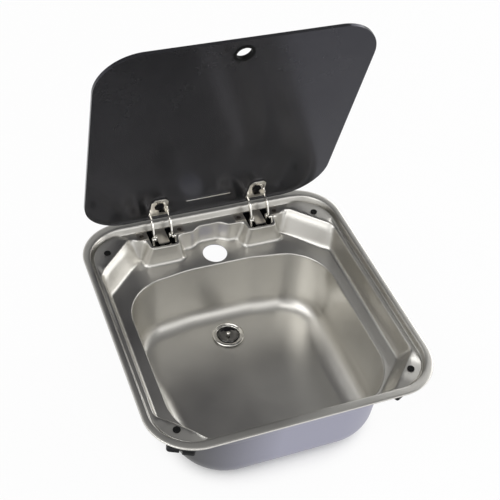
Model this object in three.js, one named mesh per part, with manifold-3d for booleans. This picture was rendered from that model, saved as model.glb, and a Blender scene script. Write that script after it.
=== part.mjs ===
// Drop-in stainless sink for a caravan, with a smoked glass lid on two linkage hinges.
// Millimetres. +X right, +Y to the hinges, +Z up. The sink stands on its bowl: the origin is under the centre
// of the rim rectangle, level with the underside of the bowl. Everything is drawn with z = 0 at the lower edge
// of the rim and lifted at the end. The lid stands open; its closed place comes from the same values.
import * as THREE from "three";
import { mergeVertices } from "three/addons/utils/BufferGeometryUtils.js";
import Module from "manifold-3d";

const wasm = await Module();
wasm.setup();

// ---------------------------------------------------------------- driving dimensions
const GAP = 0.3; // between pieces that rest on each other
const DEG = Math.PI / 180;

// pressing
const SHEET = 0.8;
const RIM_HALF_X = 210;
const RIM_HALF_Y = 220;
const RIM_CORNER = 70;
const RIM_CROWN = 2.5;
const RIM_BAND_SIDE = 10.6; // from the outer edge to where the rim turns down
const RIM_BAND_FRONT = 13.6;
const RIM_BAND_BACK = 15.5;
const SHELF_Z = -8;
const PAD_Z = -5; // corner pads stand above the shelf
const SIDE_EDGE_X = 190; // top of the side slopes
const SIDE_FOOT_X = 181.5;
const FRONT_EDGE_Y = -200;
const FRONT_FOOT_Y = -195;
const FRONT_DIAGONAL_TOP = 334; // |x| - y along the top of the front corner slopes
const FRONT_DIAGONAL_FOOT = 308.5;
const BACK_DIAGONAL_TOP = 318; // |x| + y along the top of the back corner slopes
const BACK_DIAGONAL_FOOT = 293;
const DECK_BACK_Z = -40.5; // tap deck
const DECK_BOWL_Z = -43; // deck at the bowl's edge
const TAP_WALL_Y = 187; // wall behind the tap
const TAP_WALL_SIDE_Y = 177.5; // the same wall beside the tap
const WALL_LEAN = 1.2; // how far the steep walls lean back
const SLOPE_FILLET = 5;
const EDGE_FILLET = 3;
const FRONT_EDGE_FILLET = 1.2;

// bowl
const BOWL_HALF_X = 161;
const BOWL_FRONT_Y = -190;
const BOWL_BACK_Y = 131.8;
const BOWL_SHOULDER_Y = 117; // the back edge falls to here at the sides
const BOWL_FRONT_CORNER = 87;
const BOWL_BACK_CORNER = 72;
const BOWL_FLOOR_Z = -150;
const BOWL_DRAFT = 5; // each wall leans in by this much over its height
const BOWL_BOTTOM_FILLET = 25;
const BOWL_EDGE_FILLET = 2.6;

// holes and fittings
const TAP_HOLE_R = 19.3;
const TAP_HOLE_Y = 155.5;
const DRAIN_Y = 75;
const DRAIN_HOLE_R = 21;
const FLANGE_R = 25.5;
const FLANGE_HEIGHT = 2.4;
const DRAIN_BORE_R = 17.6;
const CLAMP_X = 170.5; // corner fixing screws
const CLAMP_BACK_Y = 165.5;
const CLAMP_FRONT_Y = -176;
const CLAMP_SCREW_R = 2.5;
const CLAMP_HEAD_R = 4.4;
const BUFFER_R = 5.2;
const DOG_TOP_Z = -22;
const DOG_BOTTOM_Z = -40;
const DOG_LONG_ARM = 26;
const DOG_SHORT_ARM = 13;
const DOG_HALF_WIDTH = 7;

// lid
const LID_HALF_X = 196.5;
const LID_LENGTH = 398;
const LID_THICKNESS = 5;
const LID_FRONT_CORNER = 64;
const LID_BACK_CORNER = 70;
const LID_SWING = 73; // degrees from open to closed
const LID_OPEN_EDGE = [209.7, 4.85]; // y, z of the inner face's hinge edge, open
const LID_CLOSED_EDGE = [195.3, -3]; // the same edge when the lid is down
const FINGER_HOLE_FROM_FRONT = 24.9;
const GROMMET_BORE_R = 10.8;
const GROMMET_R = 15;
const STRIP_UP = 38; // strip and clamp screws, from the hinge edge
const STRIP_LENGTH = 72;

// hinges
const HINGE_X = 80;
const HINGE_PLATE_HALF = 37.5;
const PLATE_FRONT_Y = 181;
const PLATE_BACK_Y = 199;
const PLATE_THICKNESS = 1.2;
const PLATE_SCREW_X = 30.5; // from the hinge's middle
const PLATE_SCREW_Y = 188;
const SLOT_HALF = 20.3;
const SLOT_FRONT_Y = 161;
const TONGUE_HALF = 8.6;
const TONGUE_FRONT_Y = 178;
const SLOT_BACK_Y = 198.3;
const PIN_R = 1.5;
const PIN_CLEARANCE = 0.25;
const COUPLER_SLACK = 0.9; // extra room at the coupler pin that closes the linkage
const STRAP = 2.4; // thickness of each hinge strap
const LAYER = 3.2; // pitch of the straps across the hinge
const INNER_LAYER = 10; // inside face of the innermost straps
const STRAP_HALF = 3.1;
const NECK_HALF = 3;
// Each coupler pin lies at this distance and direction from the pole of the lid's swing,
// and its ground pin on the bisector of the pin's own swing, at the second distance.
const CRANK_A = { pin: 39.14, angle: 166.49, ground: 48.75 };
const CRANK_B = { pin: 33.44, angle: 166.49, ground: 36.19 };
const SLEEVE_R = 2.8; // sleeve that joins the outer cranks
const SPRING_WIRE_R = 0.7;
const SPRING_TURNS = 4;
const HOUSING_FRONT_Y = 158.7;
const HOUSING_BACK_Y = 201.6;
const HOUSING_BOTTOM_Z = -48;
const HOUSING_WALL = 1;

// facets
const CORNER_STEPS = 8;
const ROUND_STEPS = 16;

// ---------------------------------------------------------------- helpers
const finish = {
  steel: { color: 0xc4c4c2, roughness: 0.28, metalness: 1 },
  chrome: { color: 0xd4d5d6, roughness: 0.12, metalness: 1 },
  zinc: { color: 0x9a948a, roughness: 0.35, metalness: 1 },
  glass: { color: 0x26262a, roughness: 0.05, metalness: 0, transparent: true, opacity: 0.85 },
  rubber: { color: 0x161616, roughness: 0.75, metalness: 0 },
  plastic: { color: 0x1c1c1e, roughness: 0.5, metalness: 0 },
  darkMirror: { color: 0x17171a, roughness: 0.08, metalness: 0.6 },
};

const sink = new THREE.Group();

function add(name, geometry, look, parent = sink) {
  const mesh = new THREE.Mesh(geometry, new THREE.MeshStandardMaterial(finish[look]));
  mesh.name = name;
  parent.add(mesh);
  return mesh;
}

function solid(geometry) {
  const bare = geometry.index ? geometry.toNonIndexed() : geometry.clone();
  bare.deleteAttribute("normal");
  bare.deleteAttribute("uv");
  const merged = mergeVertices(bare, 1e-3);
  return new wasm.Manifold(
    new wasm.Mesh({
      numProp: 3,
      vertProperties: merged.attributes.position.array,
      triVerts: new Uint32Array(merged.index.array),
    }),
  );
}

function geometryOf(manifold) {
  const mesh = manifold.getMesh();
  const positions = new Float32Array(mesh.numVert * 3);
  for (let i = 0; i < mesh.numVert; i++) {
    positions.set(mesh.vertProperties.subarray(i * mesh.numProp, i * mesh.numProp + 3), i * 3);
  }
  return new THREE.BufferGeometry()
    .setAttribute("position", new THREE.BufferAttribute(positions, 3))
    .setIndex(new THREE.BufferAttribute(mesh.triVerts, 1));
}

function join(...geometries) {
  return geometryOf(geometries.map(solid).reduce((all, next) => all.add(next)));
}

function cut(geometry, ...tools) {
  return geometryOf(tools.map(solid).reduce((rest, tool) => rest.subtract(tool), solid(geometry)));
}

// A turned piece about +Z through (x, y). The profile is a list of [radius, z] from the axis to the axis, or a
// closed ring of such points, counter-clockwise when drawn with the radius to the right.
function turned(profile, x = 0, y = 0, steps = ROUND_STEPS) {
  const points = profile.map(([r, z]) => new THREE.Vector2(r, z));
  return new THREE.LatheGeometry(points, steps).rotateX(90 * DEG).translate(x, y, 0);
}

function post(r, low, high, x = 0, y = 0, steps = ROUND_STEPS) {
  return turned([[0, low], [r, low], [r, high], [0, high]], x, y, steps);
}

// A shape in X and Y, as a plate between two heights.
function plate(shape, low, high, curveSegments = 6) {
  const depth = high - low;
  return new THREE.ExtrudeGeometry(shape, { depth, bevelEnabled: false, curveSegments }).translate(0, 0, low);
}

// A shape drawn in Y and Z, as a plate between two X positions.
const yzToWorld = new THREE.Matrix4().makeBasis(
  new THREE.Vector3(0, 1, 0),
  new THREE.Vector3(0, 0, 1),
  new THREE.Vector3(1, 0, 0),
);
function sidePlate(shape, low, high, curveSegments = 6) {
  return plate(shape, low, high, curveSegments).applyMatrix4(yzToWorld);
}

function crossPin(r, low, high, [y, z], steps = 10) {
  return sidePlate(outline(ring(r, y, z, steps)), low, high);
}

function ring(r, x, y, steps = 12) {
  return [...Array(steps).keys()].map((k) => {
    const turn = (2 * Math.PI * (k + 0.5)) / steps;
    return new THREE.Vector2(x + r * Math.cos(turn), y + r * Math.sin(turn));
  });
}

function hole(r, x, y, steps = 12) {
  return new THREE.Path(ring(r, x, y, steps));
}

// The points of an outline given by its corners, each [x, y, radius, steps]; with radius 0 it is one point.
function rounded(corners, closed = true) {
  const points = [];
  corners.forEach(([x, y, radius = 0, steps = 1], i) => {
    const here = new THREE.Vector2(x, y);
    const end = !closed && (i === 0 || i === corners.length - 1);
    if (end || radius === 0) {
      points.push(here);
      return;
    }
    const before = corners[(i + corners.length - 1) % corners.length];
    const after = corners[(i + 1) % corners.length];
    const arriving = here.clone().sub(new THREE.Vector2(before[0], before[1])).normalize();
    const leaving = new THREE.Vector2(after[0], after[1]).sub(here).normalize();
    const turn = Math.atan2(arriving.cross(leaving), arriving.dot(leaving));
    const setback = radius * Math.tan(Math.abs(turn) / 2);
    const start = here.clone().addScaledVector(arriving, -setback);
    const side = Math.sign(turn);
    const centre = start.clone().add(new THREE.Vector2(-arriving.y, arriving.x).multiplyScalar(side * radius));
    for (let k = 0; k <= steps; k++) {
      points.push(start.clone().rotateAround(centre, (turn * k) / steps));
    }
  });
  return points;
}

// Mirrors a right half, listed from the front centre to the back centre, into a whole loop.
function mirrored(half) {
  const left = half.slice(1, -1).reverse();
  return [...half, ...left.map((p) => Object.assign(p.clone(), { x: -p.x }))];
}

function outline(points) {
  return new THREE.Shape(points);
}

function roundedRectangle(x0, y0, x1, y1, radius, steps = 3) {
  return rounded([[x0, y0], [x1, y0], [x1, y1], [x0, y1]].map((corner) => [...corner, radius, steps]));
}

// ---------------------------------------------------------------- sink pressing
function deckHeight(x, y) {
  const back = THREE.MathUtils.smoothstep(y, BOWL_SHOULDER_Y, TAP_HOLE_Y);
  const side = THREE.MathUtils.smoothstep(Math.abs(x), BOWL_HALF_X + 4, SIDE_FOOT_X);
  return DECK_BOWL_Z + Math.max((DECK_BACK_Z - DECK_BOWL_Z) * back, side);
}

// Where the slopes and walls round the deck end at the top, corner by corner:
// [x, y, radius, steps, first z, last z, fillet].
const bossHalf = SLOT_HALF + 2.2;
const bossFrontY = SLOT_FRONT_Y - 3.7;
const slopeTop = [
  [0, FRONT_EDGE_Y, 0, 0, SHELF_Z, SHELF_Z, FRONT_EDGE_FILLET],
  [76, FRONT_EDGE_Y, 0, 0, SHELF_Z, SHELF_Z, FRONT_EDGE_FILLET],
  [90, FRONT_EDGE_Y, 0, 0, SHELF_Z, SHELF_Z, FRONT_EDGE_FILLET],
  [104, FRONT_EDGE_Y, 0, 0, SHELF_Z, SHELF_Z, FRONT_EDGE_FILLET],
  [118, FRONT_EDGE_Y, 0, 0, SHELF_Z, SHELF_Z, FRONT_EDGE_FILLET],
  [FRONT_DIAGONAL_TOP + FRONT_EDGE_Y, FRONT_EDGE_Y, 14, 4, SHELF_Z, PAD_Z, FRONT_EDGE_FILLET],
  [SIDE_EDGE_X, SIDE_EDGE_X - FRONT_DIAGONAL_TOP, 12, 4, PAD_Z, SHELF_Z, EDGE_FILLET],
  [SIDE_EDGE_X, BACK_DIAGONAL_TOP - SIDE_EDGE_X, 12, 4, SHELF_Z, PAD_Z, EDGE_FILLET],
  [BACK_DIAGONAL_TOP - 190, 190, 6, 3, PAD_Z, SHELF_Z, EDGE_FILLET],
  [HINGE_X + 38.5, 180.7, 4, 2, SHELF_Z, SHELF_Z, 1.8],
  [HINGE_X + 26, 180.7, 3, 2, SHELF_Z, SHELF_Z, 1.8],
  [HINGE_X + bossHalf, bossFrontY, 6, 4, SHELF_Z, SHELF_Z, 1.8],
  [HINGE_X - bossHalf, bossFrontY, 6, 4, SHELF_Z, SHELF_Z, 1.8],
  [HINGE_X - bossHalf - 3, TAP_WALL_SIDE_Y + WALL_LEAN, 5, 3, SHELF_Z, SHELF_Z, 1.8],
  [29, TAP_WALL_SIDE_Y + WALL_LEAN, 8, 4, SHELF_Z, SHELF_Z, EDGE_FILLET],
  [18, TAP_WALL_Y + WALL_LEAN, 8, 4, SHELF_Z, SHELF_Z, EDGE_FILLET],
  [0, TAP_WALL_Y + WALL_LEAN, 0, 0, SHELF_Z, SHELF_Z, EDGE_FILLET],
];
// Where they start on the deck, corner by corner: [x, y, radius, steps, fillet].
const slopeFoot = [
  [0, FRONT_FOOT_Y, 0, 0, 1],
  [FRONT_DIAGONAL_FOOT + FRONT_FOOT_Y, FRONT_FOOT_Y, 60, 8, 1],
  [SIDE_FOOT_X, SIDE_FOOT_X - FRONT_DIAGONAL_FOOT, 8, 4, 2],
  [SIDE_FOOT_X, BACK_DIAGONAL_FOOT - SIDE_FOOT_X, 8, 4, SLOPE_FILLET],
  [HINGE_X + 39.4, 169.3, 0.7, 3, 0.8],
  [HINGE_X + 37.4, 171.4, 0.6, 2, 0.8],
  [HINGE_X + 35.4, 171.4, 0.7, 2, 0.8],
  [HINGE_X + 34, bossFrontY - 2.3, 6, 4, SLOPE_FILLET],
  [HINGE_X - 30.5, bossFrontY - 2.3, 6, 4, SLOPE_FILLET],
  [HINGE_X - 33.5, TAP_WALL_SIDE_Y, 6, 3, SLOPE_FILLET],
  [30, TAP_WALL_SIDE_Y, 8, 4, SLOPE_FILLET],
  [17, TAP_WALL_Y, 8, 4, SLOPE_FILLET],
  [0, TAP_WALL_Y, 0, 0, SLOPE_FILLET],
];

// Gives every point of an outline the height and fillet of its corner, as [point, z, fillet].
function cornerValues(corners, read) {
  const values = [];
  corners.forEach((corner, i) => {
    const end = i === 0 || i === corners.length - 1;
    const steps = end || corner[2] === 0 ? 0 : corner[3];
    for (let k = 0; k <= steps; k++) values.push(read(corner, steps ? k / steps : 0));
  });
  return values;
}

function slopeLoops() {
  const foot = rounded(slopeFoot, false);
  const top = rounded(slopeTop, false);
  const footFillet = cornerValues(slopeFoot, (corner) => corner[4]);
  const topFillet = cornerValues(slopeTop, (corner) => corner[6]);
  const topZ = cornerValues(slopeTop, (corner, t) => THREE.MathUtils.lerp(corner[4], corner[5], t));
  const arcSteps = 2;
  const profiles = foot.map((start, j) => {
    const low = new THREE.Vector3(start.x, start.y, deckHeight(start.x, start.y));
    const high = new THREE.Vector3(top[j].x, top[j].y, topZ[j]);
    const out = new THREE.Vector3(high.x - low.x, high.y - low.y, 0).normalize();
    const along = high.clone().sub(low).normalize();
    const slope = Math.acos(along.dot(out));
    const profile = [];
    const bends = [[high, topFillet[j], out, along], [low, footFillet[j], along, out]];
    for (const [corner, radius, first, last] of bends) {
      const setback = radius * Math.tan(slope / 2);
      const a = corner.clone().addScaledVector(first, setback);
      const b = corner.clone().addScaledVector(last, -setback);
      for (let k = 0; k <= arcSteps; k++) {
        const t = k / arcSteps;
        const p = a.clone().multiplyScalar((1 - t) * (1 - t));
        profile.push(p.addScaledVector(corner, 2 * t * (1 - t)).addScaledVector(b, t * t));
      }
    }
    return profile;
  });
  return profiles[0].map((_, ring) => mirrored(profiles.map((profile) => profile[ring])));
}

function rimLoop(side, front, back, z, padZ = z) {
  const shrink = (side + Math.min(front, back)) / 2;
  const radius = RIM_CORNER - Math.min(shrink, side + 2);
  const half = rounded(
    [
      [0, -RIM_HALF_Y + front],
      [RIM_HALF_X - side, -RIM_HALF_Y + front, radius, CORNER_STEPS],
      [RIM_HALF_X - side, RIM_HALF_Y - back, radius, CORNER_STEPS],
      [0, RIM_HALF_Y - back],
    ],
    false,
  );
  const isPad = (i) => i % (CORNER_STEPS + 1) > 1;
  return mirrored(half.map((p, i) => new THREE.Vector3(p.x, p.y, isPad(i) ? padZ : z)));
}

function bowlLoop(inset, z) {
  const half = rounded(
    [
      [0, BOWL_FRONT_Y + inset],
      [BOWL_HALF_X - inset, BOWL_FRONT_Y + inset, BOWL_FRONT_CORNER - inset, CORNER_STEPS],
      [BOWL_HALF_X - inset, BOWL_SHOULDER_Y - inset, BOWL_BACK_CORNER - inset, CORNER_STEPS],
      [50, BOWL_BACK_Y - inset, 150, 2],
      [0, BOWL_BACK_Y - inset],
    ],
    false,
  );
  return mirrored(half.map((p) => new THREE.Vector3(p.x, p.y, z)));
}

// Triangulation leaves out points in a straight row, so in the plan that it reads each edge bows very
// slightly into the ring between the two loops.
function bowed(loop, side) {
  const bow = side * 1e-9;
  return loop.map(({ x, y }) => new THREE.Vector2(x, y).multiplyScalar(1 + bow * (x * x + y * y)));
}

// Fills the ring between two loops with triangles of [loop, place] corners. With cuts, each an index on the
// outer loop and one on the inner loop of the right half, it is filled piece by piece between cuts.
function fillRing(outer, inner, cuts) {
  const plans = [bowed(outer, 1), bowed(inner, -1)];
  const pieces = [];
  if (cuts) {
    const left = cuts.slice(1, -1).reverse();
    const both = [...cuts, ...left.map(([i, j]) => [outer.length - i, inner.length - j])];
    both.forEach(([i, j], k) => {
      const [endI, endJ] = both[k + 1] ?? [outer.length, inner.length];
      const corners = [];
      for (let a = i; a <= endI; a++) corners.push([0, a % outer.length]);
      for (let b = endJ; b >= j; b--) corners.push([1, b % inner.length]);
      const part = THREE.ShapeUtils.triangulateShape(corners.map(([loop, place]) => plans[loop][place]), []);
      pieces.push(...part.map((t) => t.map((corner) => corners[corner])));
    });
  } else {
    const corners = plans.flatMap((plan, loop) => plan.map((_, place) => [loop, place]));
    const whole = THREE.ShapeUtils.triangulateShape(plans[0], [plans[1]]);
    pieces.push(...whole.map((t) => t.map((corner) => corners[corner])));
  }
  return pieces.map((triangle) => {
    const [p, q, r] = triangle.map(([loop, place]) => plans[loop][place]);
    const up = q.clone().sub(p).cross(r.clone().sub(p)) > 0;
    return up ? triangle : triangle.toReversed();
  });
}

// A sheet of even thickness under a surface that is given as zones. A zone is a list of loops with as many
// points each, and the ring between one zone's last loop and the next zone's first loop is filled in.
function sheetFrom(zones, cuts = []) {
  const vertices = [];
  const triangles = [];
  let border;
  zones.forEach((zone, number) => {
    const starts = zone.map((loop) => vertices.push(...loop) - loop.length);
    if (border) {
      const first = [border.start, starts[0]];
      const filled = fillRing(border.loop, zone[0], cuts[number - 1]);
      triangles.push(...filled.map((triangle) => triangle.map(([loop, place]) => first[loop] + place)));
    }
    for (let ring = 1; ring < zone.length; ring++) {
      const count = zone[ring].length;
      for (let i = 0; i < count; i++) {
        const next = (i + 1) % count;
        const [a, b] = [starts[ring - 1] + i, starts[ring - 1] + next];
        const [c, d] = [starts[ring] + i, starts[ring] + next];
        triangles.push([a, b, d], [a, d, c]);
      }
    }
    border = { loop: zone.at(-1), start: starts.at(-1) };
  });
  const normals = vertices.map(() => new THREE.Vector3());
  triangles.forEach((triangle) => {
    const [p, q, r] = triangle.map((i) => vertices[i]);
    const corners = [[p, q, r], [q, r, p], [r, p, q]];
    const normal = q.clone().sub(p).cross(r.clone().sub(p)).normalize();
    triangle.forEach((vertex, k) => {
      const [at, one, two] = corners[k];
      const angle = one.clone().sub(at).angleTo(two.clone().sub(at));
      normals[vertex].addScaledVector(normal, angle || 0);
    });
  });
  const count = vertices.length;
  const under = vertices.map((p, i) => p.clone().addScaledVector(normals[i].normalize(), -SHEET));
  const faces = [...triangles, ...triangles.map(([a, b, c]) => [a + count, c + count, b + count])];
  const rims = [[0, zones[0][0].length, false], [border.start, border.loop.length, true]];
  rims.forEach(([start, length, inner]) => {
    for (let i = 0; i < length; i++) {
      const [a, b] = [start + i, start + ((i + 1) % length)];
      const wall = [[a, a + count, b + count], [a, b + count, b]];
      faces.push(...wall.map(([p, q, r]) => (inner ? [p, r, q] : [p, q, r])));
    }
  });
  const positions = [...vertices, ...under].flatMap((p) => [p.x, p.y, p.z]);
  return new THREE.BufferGeometry()
    .setAttribute("position", new THREE.Float32BufferAttribute(positions, 3))
    .setIndex(faces.flat());
}

function rimZone() {
  const [side, front, back] = [RIM_BAND_SIDE, RIM_BAND_FRONT, RIM_BAND_BACK];
  return [
    rimLoop(0, 0, 0, SHEET),
    rimLoop(0.8, 0.8, 0.8, RIM_CROWN - 0.8),
    rimLoop(2.4, 2.4, 2.4, RIM_CROWN - 0.2),
    rimLoop(5, 5, 5, RIM_CROWN),
    rimLoop(side - 1.8, front - 1.6, back - 3, RIM_CROWN - 0.4),
    rimLoop(side, front, back, RIM_CROWN - 1.7),
    rimLoop(side + 1.2, front + 1, back + 2.5, SHELF_Z / 2),
    rimLoop(side + 2.2, front + 1.8, back + 4, SHELF_Z + 0.8),
    rimLoop(side + 3.6, front + 3.2, back + 5.4, SHELF_Z),
    rimLoop(side + 6.4, front + 4.6, back + 7, SHELF_Z, PAD_Z),
  ];
}

function bowlZone() {
  const edge = BOWL_EDGE_FILLET;
  const lip = [[-1, 0], [-0.45, 0.14], [-0.1, 0.5], [0.04, 1.05]]; // inset and drop, in fillets
  const loops = lip.map(([inset, drop]) => bowlLoop(edge * inset, DECK_BOWL_Z - edge * drop));
  const filletSteps = 4;
  for (let k = 0; k <= filletSteps; k++) {
    const turn = (90 * DEG * k) / filletSteps;
    const inset = BOWL_DRAFT + BOWL_BOTTOM_FILLET * (1 - Math.cos(turn));
    loops.push(bowlLoop(inset, BOWL_FLOOR_Z + BOWL_BOTTOM_FILLET * (1 - Math.sin(turn))));
  }
  return loops;
}

function circleLoop(radius, x, y, z, steps) {
  return [...Array(steps).keys()].map((k) => {
    const turn = (2 * Math.PI * k) / steps;
    return new THREE.Vector3(x + radius * Math.cos(turn), y + radius * Math.sin(turn), z);
  });
}

const clampPlaces = [
  ["front_left", -1, CLAMP_FRONT_Y],
  ["front_right", 1, CLAMP_FRONT_Y],
  ["back_left", -1, CLAMP_BACK_Y],
  ["back_right", 1, CLAMP_BACK_Y],
];
const hinges = [["left", -HINGE_X], ["right", HINGE_X]];

// The opening in the shelf that the straps pass through: a slot with two legs beside a tongue.
function slotOutline(grow = 0) {
  const [half, tongue] = [SLOT_HALF + grow, TONGUE_HALF - grow];
  return rounded([
    [-half, SLOT_FRONT_Y - grow, 5, 3],
    [half, SLOT_FRONT_Y - grow, 5, 3],
    [half, SLOT_BACK_Y, 2, 2],
    [tongue, SLOT_BACK_Y, 2, 2],
    [tongue, TONGUE_FRONT_Y - grow, 2, 2],
    [-tongue, TONGUE_FRONT_Y - grow, 2, 2],
    [-tongue, SLOT_BACK_Y, 2, 2],
    [-half, SLOT_BACK_Y, 2, 2],
  ]);
}

const screwHoleR = CLAMP_SCREW_R + GAP;
function plateScrewHole(x, z, reach) {
  return post(2.1, z - reach, z + reach, x, PLATE_SCREW_Y, 10);
}
const pressingCuts = [
  post(TAP_HOLE_R, DECK_BACK_Z - 6, DECK_BACK_Z + 6, 0, TAP_HOLE_Y, 32),
  ...clampPlaces.map(([, side, y]) => post(screwHoleR, PAD_Z - 6, PAD_Z + 4, side * CLAMP_X, y, 12)),
  ...hinges.map(([, x]) => plate(outline(slotOutline()), SHELF_Z - 3, SHELF_Z + 3).translate(x, 0, 0)),
  ...hinges.flatMap(([, x]) => [-1, 1].map((side) => plateScrewHole(x + side * PLATE_SCREW_X, SHELF_Z, 3))),
];
const drainLoop = circleLoop(DRAIN_HOLE_R, 0, DRAIN_Y, BOWL_FLOOR_Z, 28);
// Cuts across the shelf at the ends of the corner pads, from the rim's last loop to the slopes' first.
const cornerStarts = slopeTop.map((_, i) => cornerValues(slopeTop.slice(0, i + 1), () => 0).length - 1);
const [padFront, sideFront, sideBack, padBack] = [5, 6, 7, 8].map((i) => cornerStarts[i]);
const rimCorner = CORNER_STEPS + 1;
const lastTop = cornerValues(slopeTop, () => 0).length - 1;
const shelfCuts = [
  [0, 0],
  [1, padFront],
  [2, padFront + slopeTop[5][3]],
  [rimCorner - 1, sideFront],
  [rimCorner, sideFront + slopeTop[6][3]],
  [rimCorner + 1, sideBack],
  [rimCorner + 2, sideBack + slopeTop[7][3]],
  [2 * rimCorner - 1, padBack],
  [2 * rimCorner, padBack + slopeTop[8][3]],
  [2 * rimCorner + 1, lastTop],
];
const surface = [rimZone(), slopeLoops(), bowlZone(), [drainLoop]];
add("sink_pressing", cut(sheetFrom(surface, [shelfCuts]), ...pressingCuts), "steel");

// Foam seal in the hollow of the rim.
const sealTop = RIM_CROWN - SHEET - 0.6;
const sealOutline = outline(rimLoop(3, 3, 3, 0).map((p) => new THREE.Vector2(p.x, p.y)));
sealOutline.holes.push(new THREE.Path(rimLoop(7.5, 7.5, 7.5, 0).map((p) => new THREE.Vector2(p.x, p.y))));
const SEAL_BOTTOM = -1;
add("rim_seal", plate(sealOutline, SEAL_BOTTOM, sealTop), "rubber");

// ---------------------------------------------------------------- drain
const floorTop = BOWL_FLOOR_Z;
const floorUnder = BOWL_FLOOR_Z - SHEET;
const gasketTop = floorTop + GAP + 0.9;
const flangeTop = gasketTop + GAP / 2 + FLANGE_HEIGHT;
const neckR = DRAIN_HOLE_R - 0.6;
add(
  "drain_gasket",
  turned([[DRAIN_HOLE_R + 0.4, floorTop + GAP], [FLANGE_R - 0.8, floorTop + GAP], [FLANGE_R - 0.8, gasketTop],
    [DRAIN_HOLE_R + 0.4, gasketTop], [DRAIN_HOLE_R + 0.4, floorTop + GAP]], 0, DRAIN_Y, 24),
  "rubber",
);
add(
  "drain_flange",
  turned([[DRAIN_BORE_R, floorUnder], [neckR, floorUnder], [neckR, gasketTop + GAP],
    [FLANGE_R, gasketTop + GAP], [FLANGE_R, flangeTop - 1.4], [FLANGE_R - 1.2, flangeTop - 0.3],
    [FLANGE_R - 3, flangeTop], [DRAIN_BORE_R + 4.2, flangeTop - 0.4], [DRAIN_BORE_R + 1.2, flangeTop - 1.6],
    [DRAIN_BORE_R, flangeTop - 2.6], [DRAIN_BORE_R, floorUnder]], 0, DRAIN_Y, 28),
  "chrome",
);
const strainerTop = floorUnder + 1;
function strainer() {
  const disc = outline(ring(DRAIN_BORE_R - GAP, 0, DRAIN_Y, 28));
  const slots = 8;
  for (let k = 0; k < slots; k++) {
    const turn = (2 * Math.PI * k) / slots;
    const half = 0.24;
    const window = new THREE.Path();
    window.absarc(0, DRAIN_Y, DRAIN_BORE_R - 3, turn - half, turn + half);
    window.absarc(0, DRAIN_Y, 5, turn + half, turn - half, true);
    disc.holes.push(window);
  }
  return plate(disc, floorUnder, strainerTop, 3);
}
add("drain_strainer", strainer(), "steel");

const stopperR = DRAIN_BORE_R - 1.6;
const dishZ = strainerTop + GAP + 1.65;
add(
  "drain_stopper",
  turned([[0, dishZ - 1.6], [stopperR - 4, dishZ - 1.5], [stopperR - 0.8, dishZ - 0.4],
    [stopperR, dishZ + 0.6], [stopperR - 0.7, dishZ + 1.1], [stopperR - 3, dishZ + 0.2],
    [stopperR / 2, dishZ - 0.5], [0, dishZ - 0.7]], 0, DRAIN_Y, 24),
  "darkMirror",
);
add("stopper_seal",
  turned([[stopperR + 0.2, dishZ - 0.3], [DRAIN_BORE_R - 0.3, dishZ - 0.6], [DRAIN_BORE_R - 0.2, dishZ + 0.2],
    [stopperR + 0.5, dishZ + 0.5], [stopperR + 0.2, dishZ - 0.3]], 0, DRAIN_Y, 24),
  "rubber");
const knobZ = dishZ - 0.7 + GAP;
add(
  "stopper_knob",
  turned([[0, knobZ], [1.6, knobZ], [1.3, knobZ + 2], [2.9, knobZ + 3], [3.2, knobZ + 4.2], [2.4, knobZ + 5.2],
    [0, knobZ + 5.6]], 0, DRAIN_Y, 16),
  "chrome",
);

// ---------------------------------------------------------------- corner fixings
const headTop = PAD_Z + GAP + 0.8;
function fixingScrew(x, y) {
  const end = DOG_BOTTOM_Z - 6;
  const headR = CLAMP_HEAD_R - 0.6;
  return turned([[0, end], [CLAMP_SCREW_R - 0.6, end], [CLAMP_SCREW_R, end + 1], [CLAMP_SCREW_R, PAD_Z + GAP],
    [headR, PAD_Z + GAP], [headR, headTop], [0, headTop]], x, y, 12);
}
const bufferTop = LID_CLOSED_EDGE[1] - GAP / 2;
function buffer(x, y) {
  const inner = CLAMP_HEAD_R - 0.6 + 0.2;
  return turned([[0, headTop + 0.15], [inner, headTop + 0.15], [inner, PAD_Z + GAP / 2 + 0.1],
    [BUFFER_R, PAD_Z + GAP / 2 + 0.1], [BUFFER_R, bufferTop - 0.4], [BUFFER_R - 0.4, bufferTop],
    [0, bufferTop]], x, y, 14);
}
// Claw that swings out under the worktop; it is drawn pointing to +X, on the screw's axis.
function dog() {
  const body = rounded([
    [-DOG_SHORT_ARM, -DOG_HALF_WIDTH, 5, 3],
    [DOG_LONG_ARM, -DOG_HALF_WIDTH + 1, 3, 3],
    [DOG_LONG_ARM, DOG_HALF_WIDTH - 1, 3, 3],
    [-DOG_SHORT_ARM, DOG_HALF_WIDTH, 5, 3],
  ]);
  const hole = post(CLAMP_SCREW_R + GAP, DOG_BOTTOM_Z - 1, DOG_TOP_Z + 1, 0, 0, 14);
  const under = new THREE.Shape([
    new THREE.Vector2(9, DOG_BOTTOM_Z - 1),
    new THREE.Vector2(DOG_LONG_ARM + 1, DOG_BOTTOM_Z - 1),
    new THREE.Vector2(DOG_LONG_ARM + 1, DOG_TOP_Z - 8),
  ]);
  const relief = plate(under, -DOG_HALF_WIDTH - 1, DOG_HALF_WIDTH + 1).rotateX(90 * DEG);
  const inner = roundedRectangle(6, -3.6, DOG_LONG_ARM - 3, 3.6, 1.5, 2);
  const pocket = plate(outline(inner), DOG_TOP_Z - 5, DOG_TOP_Z + 1);
  return cut(plate(outline(body), DOG_BOTTOM_Z, DOG_TOP_Z), hole, relief, pocket);
}
const parkedTurn = -26.6; // degrees; the claw's long arm points along the front or back edge
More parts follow.
